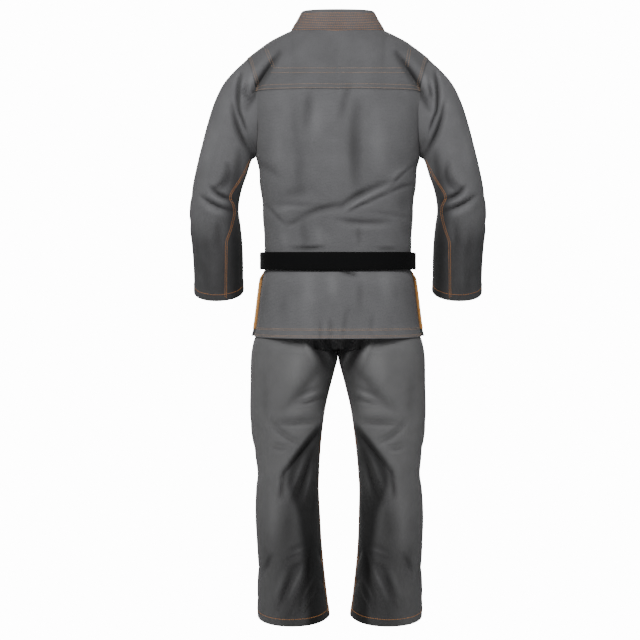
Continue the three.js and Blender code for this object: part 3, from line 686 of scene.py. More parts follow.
def drawn_line(cloth, corners, face=1):
    """A line dropped on the cloth where the photo shows it, through corners in the photo's pixels."""
    corners = np.array(corners, float)
    run = np.concatenate([[0.0], np.cumsum(np.linalg.norm(np.diff(corners, axis=0), axis=1))])
    places = np.linspace(0.0, run[-1], max(int(run[-1] / 1.2), 4))
    across = np.interp(places, run, corners[:, 0])
    down = np.interp(places, run, corners[:, 1])
    for _ in range(5):
        across[1:-1] = (across[:-2] + across[1:-1] + across[2:]) / 3
        down[1:-1] = (down[:-2] + down[1:-1] + down[2:]) / 3
    points = cloth["points"].reshape(-1, 3)
    normals = cloth["normals"].reshape(-1, 3)
    facing = normals[:, 1] * face > 0.12
    points = points[facing]
    normals = normals[facing]
    at_across, at_down = seen(points, face)
    nearest = [int(np.argmin((at_across - a) ** 2 + (at_down - d) ** 2)) for a, d in zip(across, down)]
    base = points[nearest]
    facings = normals[nearest]
    side = (at_across[nearest] - across) * PIXEL
    rise = (at_down[nearest] - down) * PIXEL
    depth = -(side * facings[:, 0] + rise * facings[:, 2]) / facings[:, 1]
    depth = np.clip(depth, -2.5, 2.5)
    return [base + np.stack([side, depth, rise], axis=-1), facings]


SKIRT_ROWS = 40
BELT_ROWS = 10
CHEST_ROWS = 62
ARMHOLE_ROWS = 76
PANEL_COLUMNS = 50

levels = np.concatenate([
    lerp(HEM, BELT_LOW, steps(SKIRT_ROWS))[:-1],
    lerp(BELT_LOW, BELT_HIGH, steps(BELT_ROWS))[:-1],
    lerp(BELT_HIGH, ARMPIT, steps(CHEST_ROWS))[:-1],
    lerp(ARMPIT, 0.0, steps(ARMHOLE_ROWS)),
])
back_columns = np.concatenate([
    lerp(1.0, NECK, steps(PANEL_COLUMNS))[:-1],
    lerp(NECK, -NECK, steps(PANEL_COLUMNS))[:-1],
    lerp(-NECK, -1.0, steps(PANEL_COLUMNS)),
])


def part_seam(points, face):
    shoulder = 0.35 * smooth(points[..., 2], -120, -70)
    return points + face * (SEAM_GAP / 2 + shoulder)[..., None] * np.array([0.0, 1.0, 0.0])


HEM_BAND = 25.0
HEM_PROUD = 0.7
HEM_STITCHES = (3.5, 6.5, HEM_BAND - 6, HEM_BAND - 3)

back_grid = part_seam(body(back_columns[:, None], levels[None, :], 1), 1)
for _ in range(14):
    for corner in (PANEL_COLUMNS, 2 * PANEL_COLUMNS):
        near = slice(corner - 9, corner + 10)
        share = smooth(-levels, 1, 30)[None, :, None]
        back_grid[near] = lerp(back_grid[near], eased(back_grid[corner - 10:corner + 11]), share)
back_hem = HEM_PROUD * (1 - smooth(run_lengths(back_grid, 1), HEM_BAND - 2, HEM_BAND + 2))
# Painted light and shade: darker down in the folds and at the top of the back, lighter from the belt down.
back_painted_shading = shade_in_folds(back_grid, BACK_CREASES + ARM_CREASES)
back_painted_shading = back_painted_shading * (1 + 0.08 * smooth(-levels, 500, 560))[None, :]
back_painted_shading = back_painted_shading * (1 - 0.12 * smooth(back_grid[..., 2], -150, -130))
back_panel, back_cloth = cloth_piece(
    "back_panel_cloth", back_grid, JACKET_CLOTH, 1, pearl_weave, proud=back_hem,
    painted_shading=back_painted_shading)
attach(back_panel, "root")
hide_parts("back_panel")
back_stitches = stitching("back_panel_stitches", [row_from_hem(back_cloth, d) for d in HEM_STITCHES])


# Shoulder yoke
# A second layer of the same cloth over the upper back, from armhole to armhole, sewn down with a double
# row along its bottom, a second double row above that and rows up both shoulders.
YOKE_CLOTH = 1.0
YOKE_BOTTOM = -142.0
YOKE_CLEARS = 0.3
YOKE_ROWS = 46

yoke_normals = grid_normals(back_grid, 1)
yoke_lift = back_grid + yoke_normals * (JACKET_CLOTH / 2 + YOKE_CLEARS + YOKE_CLOTH / 2)
yoke_columns = []
for column in yoke_lift:
    upper = column[-(ARMHOLE_ROWS + 1):]
    rows = np.arange(len(upper))
    bottom = np.interp(YOKE_BOTTOM, upper[:, 2], rows)
    places = lerp(bottom, len(upper) - 1.4, steps(YOKE_ROWS))
    yoke_columns.append(read_along(places, rows, upper))
yoke_grid = np.array(yoke_columns)[1:-1]
# Painted shade: the yoke is darker all over and down in its folds.
shoulder_yoke, yoke_cloth = cloth_piece(
    "shoulder_yoke_cloth", yoke_grid, YOKE_CLOTH, 1, pearl_weave,
    painted_shading=0.88 * shade_in_folds(yoke_grid, BACK_CREASES))
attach(shoulder_yoke, "root")
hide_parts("shoulder_yoke")
yoke_stitches = stitching("shoulder_yoke_stitches", [
    row_from_hem(yoke_cloth, 2.5),
    row_from_hem(yoke_cloth, 11),
    drawn_line(yoke_cloth, [(273, 68), (403, 68)]),
    drawn_line(yoke_cloth, [(271, 72.5), (405, 72.5)]),
    drawn_line(yoke_cloth, [(265, 49), (272, 67)]),
    drawn_line(yoke_cloth, [(267.5, 49), (274, 66)]),
    drawn_line(yoke_cloth, [(411, 49), (408, 67)]),
    drawn_line(yoke_cloth, [(408.5, 49), (405.5, 66)]),
    *(column_from_edge(yoke_cloth, distance, 0, -3, end) for end in (0, -1) for distance in (4, 8.5)),
])


# Left and right fronts
# Each front runs from its side seam to the lapel. The left one is worn on top, so it stands off the
# body where the right front and its lapel lie under it.
OVERLAP_LIFT = 9.0
COLLAR_WIDTH = 50.0
FRONT_COLUMNS = 88

FRONT_EDGE = curve(
    [-707, -600, -531, -430, -340, -291, -230, -180, -120, -60, -20, 0],
    [-84, -62, -48, -22, 10, 27, 47, 62, 80, 97, 106, NECK_WIDTH],
)


def edge_across(level):
    """The place across at which the front edge lies, found by halving."""
    low = np.full_like(level, -0.9)
    high = np.ones_like(level)
    for _ in range(40):
        middle = (low + high) / 2
        outside = plain_body(middle, level, -1)[..., 0] > FRONT_EDGE(level)
        high = np.where(outside, middle, high)
        low = np.where(outside, low, middle)
    return np.where(level > -0.5, NECK, (low + high) / 2)


def front_surface(side, across, level):
    """The chest, with the left front lifted to clear what lies under it."""
    across, level = np.broadcast_arrays(np.asarray(across, float), np.asarray(level, float))
    point = body(across, level, -1)
    if side < 0:
        return point
    near = 0.01
    up = np.where(level > -1, -1.0, 1.0)
    beside = body(across - near, level, -1) - body(across + near, level, -1)
    above = (body(across, level + up, -1) - point) * up[..., None]
    reach = COLLAR_WIDTH - FRONT_EDGE(level)
    lift = OVERLAP_LIFT * (1 - smooth(point[..., 0], reach + 4, reach + 44))
    return point - unit(np.cross(beside, above)) * lift[..., None]


front_edge = edge_across(levels)
for side, word in SIDES:
    across = side * lerp(1.0, front_edge[None, :], steps(FRONT_COLUMNS)[:, None])
    grid = part_seam(front_surface(side, across, levels[None, :]), -1)
    hem = HEM_PROUD * (1 - smooth(run_lengths(grid, 1), HEM_BAND - 2, HEM_BAND + 2))
    front, front_cloth = cloth_piece(
        "front_" + word + "_cloth", grid, JACKET_CLOTH, -side, pearl_weave, proud=hem)
    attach(front, "root")
    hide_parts("front_" + word)
    front_stitches = stitching("front_" + word + "_stitches", [
        *(row_from_hem(front_cloth, distance) for distance in HEM_STITCHES),
        column_from_edge(front_cloth, 3, 0, SKIRT_ROWS - 2),
    ])


# Vent tapes
# A strip of orange tape folded round each front's edge at the side vents of the skirt, wider inside
# than outside. It shows past the back panel from behind.
TAPE_THICK = 1.0
TAPE_FOLD = 1.8
TAPE_BOTTOM = -690.0
TAPE_TOP = VENT_TOP - 4

orange_tape = woven("orange_cotton_tape", rgb(255, 186, 112), 0.9, 0.9, 0.2, 0.0, 0.15)
tape_inside = lerp(0.935, 1.0, steps(5))
tape_outside = lerp(1.0, 0.972, steps(3))
for side, word in SIDES:
    tape_levels = lerp(TAPE_BOTTOM, TAPE_TOP, steps(60))[None, :]
    edge = front_surface(side, np.array([[side * 1.0]]), tape_levels)
    before = front_surface(side, np.array([[side * 0.985]]), tape_levels)
    backward = unit(edge - before)
    up = unit(np.gradient(edge, axis=1))
    outward = unit(np.cross(backward, up)) * side
    strips = []
    for across, way in ((tape_inside, -1), (tape_outside, 1)):
        strip = front_surface(side, side * across[:, None], tape_levels)
        strips.append(strip + way * outward * TAPE_FOLD)
    fold = lerp(0, np.pi, steps(7))[1:-1, None, None]
    bend = edge + TAPE_FOLD * (np.sin(fold) * backward - np.cos(fold) * outward)
    grid = np.concatenate([strips[0], bend, strips[1]])
    tape, _ = cloth_piece(
        "vent_tape_" + word + "_cloth", grid, TAPE_THICK, side, orange_tape)
    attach(tape, "root")
    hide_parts("vent_tape_" + word)


# Collar band
# One thick band of many layers, quilted with close rows of orange stitching. It is sewn up one front
# edge, round the neck and down the other, and it stands up and leans in round the neck.
COLLAR_THICK = 8.0
BAND_CELLS = 30
BAND_GROOVES = (0.03, 0.08, 0.16, 0.235, 0.31, 0.385, 0.46, 0.535, 0.61, 0.685, 0.76, 0.82)
NECK_LEAN_SIDE = 0.7
NECK_LEAN_NAPE = 0.16
NAPE_STATIONS = 64


def standing(start, edge, lean):
    """The band's line across, where it stands up from the neckline."""
    radial = start - np.array([0.0, SHOULDER_Y, 0.0])
    radial[..., 2] = 0.0
    upward = np.array([0.0, 0.0, 1.0]) - unit(radial) * np.asarray(lean)[..., None]
    upward = upward - edge * np.sum(upward * edge, axis=-1, keepdims=True)
    upward = unit(upward)
    reach = lerp(-1.6, COLLAR_WIDTH + 1, steps(BAND_CELLS))
    return start[:, None] + upward[:, None] * reach[None, :, None]


def lapel(side):
    """The band's lines across on the chest, walked inwards over the cloth from the front edge."""
    across = side * front_edge
    height = levels.copy()
    start = front_surface(side, across, height)
    up = np.where(levels > -6, -3.0, 3.0)
    ahead = front_surface(side, side * edge_across(levels + up), levels + up)
    edge = unit((ahead - start) * up[:, None])
    flat = smooth(levels, HEM, HEM + 70)
    lines = []
    near = 0.01
    walked = SEAM_GAP + 0.3
    for _ in range(BAND_CELLS + 1):
        here = front_surface(side, across, height)
        du = (front_surface(side, across + near, height) - here) / near
        dh = here - front_surface(side, across, height - 1)
        inward = unit(np.cross(unit(np.cross(du, dh)), edge))
        inward = np.where((inward[:, :1] * side) > 0, -inward, inward)
        uu = np.sum(du * du, axis=-1)
        uh = np.sum(du * dh, axis=-1)
        hh = np.sum(dh * dh, axis=-1)
        wu = np.sum(inward * du, axis=-1) * walked
        wh = np.sum(inward * dh, axis=-1) * walked
        spread = uu * hh - uh * uh
        across = across + (wu * hh - wh * uh) / spread
        height = np.minimum(height + flat * (wh * uu - wu * uh) / spread, 0.0)
        lines.append(front_surface(side, across, height))
        walked = COLLAR_WIDTH / BAND_CELLS
    on_chest = np.stack(lines, axis=1)
    at_neck = standing(start, edge, np.full(len(levels), NECK_LEAN_SIDE))
    weight = smooth(levels, -190, -8)[:, None, None]
    return lerp(on_chest, at_neck, weight)


nape_across = lerp(NECK, -NECK, steps(NAPE_STATIONS))[1:-1]
nape_start = top_line(nape_across, 1)
nape_edge = unit(top_line(nape_across - 0.01, 1) - top_line(nape_across + 0.01, 1))
nape_share = np.cos(nape_across / NECK * np.pi / 2)
nape = standing(nape_start, nape_edge, lerp(NECK_LEAN_SIDE, NECK_LEAN_NAPE, nape_share))
stations = np.concatenate([lapel(1), nape, lapel(-1)[::-1]])
band_share = steps(BAND_CELLS)
for _ in range(6):
    stations[1:-1] = lerp(stations[1:-1], eased(stations), band_share[None, :, None])
band_thick = np.interp(band_share, [0, 0.12, 0.3, 0.85, 0.96, 1], [3, 6.5, 8, 8, 6.5, 4])
grooves = sum(np.exp(-((band_share - g) / 0.022) ** 2) for g in BAND_GROOVES)
band_grid = stations.transpose(1, 0, 2)
# Painted shade: the band is darker all over, most near the uniform's middle line.
collar_band, band_cloth = cloth_piece(
    "collar_band_cloth", band_grid, (band_thick - 0.8 * grooves)[:, None], -1, pearl_weave,
    painted_shading=0.88 - 0.12 * np.exp(-((stations[:, 0, 0] - 5) / 22) ** 2)[None, :])
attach(collar_band, "root")
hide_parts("collar_band")


def band_row(share):
    place = share * BAND_CELLS
    low = int(place)
    part = place - low
    return [lerp(band_cloth[kind][low], band_cloth[kind][low + 1], part) for kind in ("points", "normals")]


collar_stitches = stitching(
    "collar_band_stitches", [band_row(g) for g in BAND_GROOVES], bright_thread, 0.8)


# Sleeves
# Each sleeve is one piece closed by a seam along its inner back edge, which shows as a double orange
# row. It is set in the armhole, bends forward at the elbow and ends in a turned-up cuff hem.
SLEEVE = measured("inner_x inner_z outer_x outer_z depth middle_y tip", [
    (0, 192.5, -290, 213.5, -64, 58, 8, 0),
    (1, 200, -295, 243, -92, 59, 8, 0),
    (2, 204.5, -305, 268, -124, 60, 9, 0),
    (3, 208.5, -318, 288, -168, 60, 10, 0),
    (4, 213, -334, 303, -216, 60, 11, 0.02),
    (5, 219, -350, 316, -266, 59, 12, 0.05),
    (6, 225, -370, 328, -316, 58, 13, 0.1),
    (7, 230, -395, 338, -364, 57, 12, 0.18),
    (8, 231.5, -421, 344, -408, 56, 6, 0.3),
    (9, 228, -452, 345, -450, 55, -10, 0.42),
    (10, 225, -492, 342, -492, 54, -32, 0.5),
    (11, 223.5, -536, 339.5, -538, 54, -60, 0.54),
    (12, 223, -575, 338.5, -577, 55, -84, 0.56),
    (13, 222, -594, 338.5, -596, 55.5, -95, 0.56),
])
LAST_RING = 13.0
ARMHOLE_SETTLES = 3.2
SLEEVE_COLUMNS = 100
SLEEVE_ROWS = 150
CUFF_BAND = 21.0
CUFF_PROUD = 0.8
CUFF_OUTWARDS = 4.0
CUFF_CORNERS_LOWER = 6.0

# Creases on the sides that the photo doesn't show: turn in degrees, from 0 at the outside through 90
# at the back, ring down the sleeve, then spread in millimetres and height.
SLEEVE_ROUND = [
    (-60, 7.4, -140, 8.6, 8, -8),
    (-50, 8.2, -150, 9.3, 7, -6),
    (-70, 6.9, -130, 7.7, 8, 4),
    (-20, 6.4, 10, 7.6, 8, -4),
    (-40, 3.2, -120, 4.6, 10, -4),
    (-100, 1.8, -140, 3.4, 9, -6),
    (15, 8.6, -30, 9.4, 8, -3),
    (-80, 10.2, -130, 11.2, 9, -3),
    (-160, 4.8, -120, 6.2, 9, -4),
]


def sleeve_ellipse(ring, turn):
    inner = [SLEEVE["inner_x"](ring), 0 * ring, SLEEVE["inner_z"](ring)]
    outer = [SLEEVE["outer_x"](ring), 0 * ring, SLEEVE["outer_z"](ring)]
    share = (1 + np.cos(turn)) / 2
    tip = SLEEVE["tip"](ring)
    depth = SLEEVE["depth"](ring) * np.sin(turn)
    x = lerp(inner[0], outer[0], share)
    y = SLEEVE["middle_y"](ring) + depth * np.sqrt(1 - tip * tip)
    z = lerp(inner[2], outer[2], share) - depth * tip
    return np.stack(np.broadcast_arrays(x, y, z), axis=-1)


def armhole(turn, face):
    """The armhole's edge, moved out of the panels by the seam gap."""
    level = ARMPIT * (1 - np.cos(turn)) / 2
    ones = np.ones_like(turn)
    point = plain_body(ones, level, face)
    outwards = unit(point - plain_body(0.98 * ones, level, face))
    up = np.where(level > -2, -1.0, 1.0)
    edge = unit(plain_body(ones, level + up, face) - point)
    outwards = unit(outwards - edge * np.sum(outwards * edge, axis=-1, keepdims=True))
    low = -np.cos(turn)
    under = smooth(low, -0.3, 0.8) if face > 0 else smooth(low, -0.9, 0.4)
    point = point + outwards * (SEAM_GAP * (1 - under) - 0.7)[..., None]
    aside = np.stack([2.8 * under, 0 * under, 1.4 * smooth(low, 0, 1) * under], axis=-1)
    return point + aside


def round_relief(creases, turn, ring, girth, ring_length):
    """Creases given by turn and ring, with their spread measured along the cloth."""
    total = np.zeros(np.broadcast(turn, ring).shape)
    for t0, r0, t1, r1, spread, height in creases:
        run_t = (t1 - t0) * girth / 360
        run_r = (r1 - r0) * ring_length
        across = ((turn - t0 + 180) % 360 - 180) * girth / 360
        total += crease(across, (ring - r0) * ring_length, run_t, run_r, 0, spread, height)
    return total


for side, word in SIDES:
    turn = steps(SLEEVE_COLUMNS)[:, None] * 2 * np.pi
    turn = turn + 0 * steps(SLEEVE_ROWS)[None, :]
    ring = LAST_RING * steps(SLEEVE_ROWS)[None, :] + 0 * turn
    at_back = np.sin(turn) >= 0
    edge = np.where(at_back[..., None], armhole(turn, 1), armhole(turn, -1))
    settled = smooth(ring, 0, ARMHOLE_SETTLES)
    offset = (edge - sleeve_ellipse(0 * ring, turn)) * (1 - settled)[..., None]
    grid = sleeve_ellipse(ring, turn) + offset
    near_cuff = smooth(ring, 9.5, LAST_RING)
    grid[..., 0] += CUFF_OUTWARDS * near_cuff
    grid[..., 2] -= CUFF_CORNERS_LOWER * (near_cuff * np.cos(turn)) ** 2
    grid[..., 0] *= side
    s = (1 + np.cos(turn)) / 2
    seam_weight = smooth(s, 0, 0.3) * (1 - smooth(s, 0.88, 1))
    weight = lerp(seam_weight, np.abs(np.sin(turn)), settled)
    back_lift = relief(BACK_CREASES + ARM_CREASES, *seen(grid, 1))
    front_lift = -relief(FRONT_CREASES, *seen(grid, -1))
    lift = weight * np.where(at_back, back_lift, front_lift)
    grid[..., 1] += DEPTH_OF_FOLDS * lift
    joined = np.ones(SLEEVE_ROWS + 1, bool)
    normals = grid_normals(grid, -side, joined)
    away_from_seam = smooth(ring, 0.6, 2.2)
    hidden = round_relief(SLEEVE_ROUND, np.degrees(turn), ring, 360, 43)
    grid = grid + normals * (hidden * away_from_seam)[..., None]
    from_cuff = run_lengths(grid[:, ::-1], 1)[:, ::-1]
    hem = CUFF_PROUD * (1 - smooth(from_cuff, CUFF_BAND - 2, CUFF_BAND + 1))
    # Painted light and shade: the sleeve is a little lighter all over, darker down in its folds at the back,
    # and much darker below the elbow and on its inner side.
    painted_shading = np.where(at_back, shade_in_folds(grid + [0, 60, 0], BACK_CREASES + ARM_CREASES), 1.0) * 1.08
    below_elbow = 1 - 0.42 * smooth(ring, 8.0, 10.0)
    inner_side = 1 - 0.68 * smooth(-np.cos(turn), 0.3, 0.8) * smooth(ring, 3.6, 6.4)
    sleeve, sleeve_cloth = cloth_piece(
        "sleeve_" + word + "_cloth", grid, JACKET_CLOTH, -side, pearl_weave, joined=joined, proud=hem,
        painted_shading=painted_shading * below_elbow * inner_side)
    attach(sleeve, "root")
    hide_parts("sleeve_" + word)
    seam = [(250, 160), (240, 179), (230, 194), (229, 199), (233, 205), (234, 213), (232, 222), (230, 230),
            (225.5, 242), (225, 298)]
    beside = [(a + 1.6, d) for a, d in seam]
    if side < 0:
        seam = [(2 * MIDDLE_ACROSS - a, d) for a, d in seam]
        beside = [(2 * MIDDLE_ACROSS - a, d) for a, d in beside]
    sleeve_stitches = stitching("sleeve_" + word + "_stitches", [
        drawn_line(sleeve_cloth, seam),
        drawn_line(sleeve_cloth, beside),
        row_from_hem(sleeve_cloth, CUFF_BAND - 3, far=True),
    ], bright_thread, SEAM_THREAD, SEAM_PITCH)


# Belt
# One long strip of black cotton quilted with rows of stitching. These are its two turns round the waist,
# the outer lying on the inner.
BELT_THICK = 3.5
BELT_COLUMNS = 240
BELT_CELLS = 20
BELT_ROWS_SEWN = 9

black_cotton = woven("black_belt_cotton", rgb(14, 14, 15), 0.8, 1.1, 0.25, 0.1, 0.03)
black_cotton.node_tree.nodes["Principled BSDF"].inputs["Sheen Roughness"].default_value = 0.35


def belt_thickness(share):
    """The strip is thinner along each sewn row and rounds off at its edges."""
    rows = (np.arange(BELT_ROWS_SEWN) + 0.5) / BELT_ROWS_SEWN
    grooves = sum(np.exp(-((share - row) / 0.014) ** 2) for row in rows)
    edge = np.clip(1 - np.minimum(share, 1 - share) / 0.045, 0, 1)
    return BELT_THICK * np.sqrt(np.clip(1 - 0.75 * edge * edge, 0.05, 1)) - 0.5 * np.clip(grooves, 0, 1)


def belt_point(turn, height, distance):
    at_back = turn <= np.pi
    across_back = 1 - turn / (np.pi / 2)
    across_front = turn / (np.pi / 2) - 3
    front = np.where(at_back, 0.0, np.sin(turn - np.pi))
    over_fronts = (OVERLAP_LIFT + COLLAR_THICK / 2) * smooth(front, 0, 0.45)
    clear = 0.8 + over_fronts + 4.6 * smooth(front, 0.93, 0.995)
    reach = JACKET_CLOTH / 2 + clear + distance
    low = np.full_like(turn, BELT_LOW)
    near = 0.01

    def ring_part(across, face):
        point = torso_ring(across, low, face)
        ahead = torso_ring(np.clip(across + near, -1, 1), low, face)
        behind = torso_ring(np.clip(across - near, -1, 1), low, face)
        along = ahead - behind
        normal = unit(np.stack([along[..., 1], -along[..., 0], 0 * along[..., 0]], axis=-1)) * -face
        return point + normal * reach[..., None]

    point = np.where(at_back[..., None], ring_part(across_back, 1), ring_part(across_front, -1))
    point[..., 2] = height
    return point


belt_share = steps(BELT_CELLS)[None, :]
belt_turn = steps(BELT_COLUMNS)[:, None] * 2 * np.pi
for layer, word in ((0, "inner"), (1, "outer")):
    distance = BELT_THICK / 2 + layer * (BELT_THICK + 0.4)
    height = BELT_MIDDLE + (belt_share - 0.5) * BELT_WIDTH + 0 * belt_turn
    turn_grid = belt_turn + 0 * belt_share
    grid = belt_point(turn_grid, height, distance + 0 * turn_grid)
    grid[..., 2] += layer * 0.8 * np.sin(turn_grid * 3 + 0.6) - layer * 0.5
    thick = belt_thickness(belt_share) + 0 * belt_turn
    belt_turn_piece, _ = cloth_piece("belt_" + word + "_turn_cloth", grid, thick, 1, black_cotton,
                                     joined=np.ones(BELT_CELLS + 1, bool))
    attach(belt_turn_piece, "root")
    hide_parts("belt_" + word + "_turn")


# Belt knot
# A flat loop of the same strip, closed round both turns at the wearer's front. Its outer side leans a
# little, is narrower than its inner side and crowns in the middle. The photo hides it, so it is guessed.
KNOT_WIDTH = 40.0
KNOT_THICK = 4.0
KNOT_BULGE = 9.0
front_turn = np.array([1.5 * np.pi])
belt_front = float(belt_point(front_turn, np.array([BELT_MIDDLE]), np.array([2 * BELT_THICK + 0.4]))[0, 1])
belt_back = float(belt_point(front_turn, np.array([BELT_MIDDLE]), np.array([0.0]))[0, 1])
clear = KNOT_THICK / 2 + 0.5
knot_front = belt_front - clear
knot_back = belt_back + clear
half = BELT_WIDTH / 2 + clear
knot_outline = np.array([
    (knot_back, half), (knot_back, 0), (knot_back, -half), (knot_front, -half - 1),
    (knot_front - KNOT_BULGE * 0.6, -half * 0.6), (knot_front - KNOT_BULGE, 0),
    (knot_front - KNOT_BULGE * 0.6, half * 0.6), (knot_front, half + 1),
])
knot_path = np.concatenate([knot_outline, knot_outline[:1]])
fine = lerp(0, 8, steps(96))
knot_line = np.stack([np.interp(fine, np.arange(9), knot_path[:, k]) for k in range(2)], axis=-1)
for _ in range(10):
    knot_line[1:-1] = eased(knot_line)
knot_line[0] = knot_line[-1] = (knot_line[1] + knot_line[-2]) / 2
knot_y, knot_z = knot_line.T
in_front = smooth(-knot_y, -knot_front - 2, -knot_front + 4)
knot_share = steps(BELT_CELLS)
knot_x = (knot_share[None, :] - 0.5) * KNOT_WIDTH * (1 - 0.12 * in_front[:, None])
knot_lean = (knot_share[None, :] - 0.5) * -10 * in_front[:, None]
knot_crown = -2.5 * in_front[:, None] * (1 - (2 * knot_share[None, :] - 1) ** 2)
knot_grid = np.stack([
    knot_x,
    knot_y[:, None] + knot_crown,
    BELT_MIDDLE + knot_z[:, None] + knot_lean,
], axis=-1)
knot, _ = cloth_piece("belt_knot_cloth", knot_grid, belt_thickness(knot_share)[None, :] + 0 * knot_x, -1,
                      black_cotton, joined=np.ones(BELT_CELLS + 1, bool))
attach(knot, "root")
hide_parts("belt_knot")


# Belt ends
# Both ends come out of the knot's sides and hang down in front, each with a slight curl of its own. They
# are hidden in the photo and guessed.
BELT_END = 235.0
for side, word in SIDES:
    start_x = KNOT_WIDTH / 2 + 4.85
    start_y = belt_front - 3
    path = np.array([
        (start_x, start_y, BELT_MIDDLE),
        (44, start_y - 6, BELT_MIDDLE - 4),
        (62, start_y - 12, BELT_MIDDLE - 44),
        (72, start_y - 14, BELT_MIDDLE - 120),
        (74, start_y - 15, BELT_MIDDLE - BELT_END),
    ])
    padded = np.concatenate([[2 * path[0] - path[1]], path, [2 * path[-1] - path[-2]]])
    places = lerp(0, 4, steps(90))
    i = np.minimum(places.astype(int), 3)
    t = (places - i)[:, None]
    p0, p1, p2, p3 = (padded[i + k] for k in range(4))
    line = 0.5 * (2 * p1 + (p2 - p0) * t + (2 * p0 - 5 * p1 + 4 * p2 - p3) * t ** 2
                  + (3 * p1 - p0 - 3 * p2 + p3) * t ** 3)
    line[:, 0] *= side
    tangent = unit(np.gradient(line, axis=0))
    flat_way = unit(np.stack([tangent[:, 2], 0 * tangent[:, 0], -tangent[:, 0]], axis=-1))
    run = steps(90)
    curl = 4 * np.sin(run * 5) * smooth(run, 0.25, 0.6) * (1 if side > 0 else -0.7)
    line[:, 1] -= np.abs(curl) * 0.5
    share = steps(BELT_CELLS)
    grid = line[:, None] + flat_way[:, None] * ((share - 0.5) * BELT_WIDTH)[None, :, None]
    grid[..., 1] -= curl[:, None] * (share - 0.5)[None, :] * 1.2
    thick = belt_thickness(share)[None, :]
    belt_end, _ = cloth_piece("belt_end_" + word + "_cloth", grid, thick, -1, black_cotton)
    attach(belt_end, "root")
    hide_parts("belt_end_" + word)


# Trousers
# A left and a right half of lighter cotton, each a leg and half of the seat. They meet at the rise seam,
# each leg is closed by an inseam with a double row, and the hems are turned up.
TROUSER_CLOTH = 1.4
WAIST = -480.0
CROTCH = -739.0
TROUSER_HEM = -1353.0
RISE_START = -585.0
LEG_ROUND = 2.25
HEM_DIP = 12.0
INSEAM_PINCH = 4.5
LEG_SWAY = 4.5
LEG_COLUMNS = 122
LEG_ROWS = 160
SEAT_ROWS = 40

SEAT = measured("width back front", [
    (-760, 201, 116, 108),
    (-748, 201, 118, 110),
    (-729, 198, 120, 112),
    (-716, 195, 120, 112),
    (-707, 191.3, 119.9, 111.8),
    (-690, 186.3, 117.9, 110.8),
    (-650, 175, 111, 106),
    (-600, 167, 104, 102),
    (-560, 162, 99, 99),
    (-520, 159, 94, 96),
    (-480, 158, 92, 95),
])
LEG = measured("inner outer depth middle_y", [
    (-1353, 29, 190, 82, 4),
    (-1320, 33, 192, 81, 4),
    (-1275, 37, 191, 80, 3),
    (-1233, 40, 190, 79, 3),
    (-1180, 43, 192.5, 78, 2),
    (-1121, 45.5, 195, 77, 1),
    (-1060, 47.5, 192.5, 76, 0),
    (-1028, 46, 188.5, 76, 0),
    (-1000, 44.5, 191, 76, 0),
    (-960, 41, 197, 77, 0),
    (-916, 36, 203, 80, 2),
    (-870, 29, 204, 84, 4),
    (-823, 18, 203, 89, 5),
    (-785, 8, 202.5, 93, 6),
    (-760, 1.5, 202, 96, 6),
    (-739, 0.2, 200, 98, 6),
])
LEG_BACK_CREASES = mirrored([
    (267, 341, 302, 348, 0, 6, -5),
    (310, 334, 327, 374, 1, 8, -13),
    (319, 338, 331, 366, 0, 4, 12),
    (328, 334, 333, 364, 0, 4, -7),
    (303, 338, 316, 372, 0, 6, 5),
    (322, 366, 284, 412, -2, 12, -5),
    (300, 352, 292, 392, 0, 20, 4),
    (301, 403.5, 321, 394.5, 0, 3, 3),
    (297, 399, 318, 389, 0, 5, -3),
    (296, 405.5, 324, 400, 0, 4, -4),
    (277, 425, 318, 423, 1.5, 5, -4),
    (284, 416, 316, 413, 1, 7, 2),
    (269, 423, 297, 445, 3, 5, -4),
    (280, 434, 304, 434, 2, 8, 0.5),
    (272, 448, 287, 450.5, 1.5, 4, -3),
    (323, 428, 283, 479, 1, 7, -17),
    (283, 474, 280, 502, 0, 5, -9),
    (304, 462, 289, 500, 0, 6, 10),
    (312, 455, 297, 503, 0, 4.5, -10),
    (313, 470, 303, 508, 0, 4.5, 8),
    (320, 470, 310, 520, 0, 6, -7),
    (270, 564, 261, 580, 0, 6, -9),
    (283, 580, 273, 608, 0, 7, 5),
    (289, 565, 304, 557.5, 0, 4, 6),
    (287, 560, 300, 553, 0, 5, -4),
    (311, 545, 304, 582, 0, 6, -8),
    (293, 574, 278, 608, 0, 6, -8),
    (303, 574, 287, 611, 0, 4.5, 9),
    (309, 570, 299, 614, 0, 8, -10),
    (314, 586, 301, 612, 0, 3.5, 9),
    (311, 597, 302, 613, 0, 3.5, -4),
    (273, 500, 270, 560, 0, 14, 3),
    (290, 508, 284, 552, 0, 12, -4),
    (262, 555, 266, 575, 0, 8, -3),
    (262, 380, 264, 420, 0, 10, -2.5),
])
LEG_FRONT_CREASES = [
    (330, 344, 296, 368, -2, 9, -8),
    (346, 344, 380, 366, 2, 9, -8),
    (332, 352, 310, 384, -1, 7, -5),
    (344, 352, 366, 386, 1, 7, -5),
    (306, 408, 276, 424, -2, 10, 6),
    (370, 408, 401, 426, 2, 10, 6),
    (310, 420, 282, 438, -2, 7, -7),
    (366, 420, 394, 440, 2, 7, -7),
    (304, 452, 286, 500, 1, 12, -5),
    (372, 452, 392, 500, -1, 12, -5),
    (316, 560, 280, 584, -2, 9, -8),
    (360, 560, 398, 582, 2, 9, -8),
    (312, 580, 274, 602, -2, 8, -7),
    (364, 582, 404, 604, 2, 8, -7),
    (310, 572, 278, 594, -2, 7, 5),
    (366, 570, 400, 594, 2, 7, 5),
]
LEG_ROUND_CREASES = [
    (0, -905, 50, -925, 12, -2.5),
    (-10, -960, 40, -985, 12, -2),
    (-20, -1225, 30, -1262, 12, -2.5),
    (-30, -1290, 15, -1320, 12, -2),
    (150, -1200, 200, -1262, 9, -5),
    (150, -1262, 205, -1310, 8, -4),
    (160, -960, 205, -905, 9, -5),
]


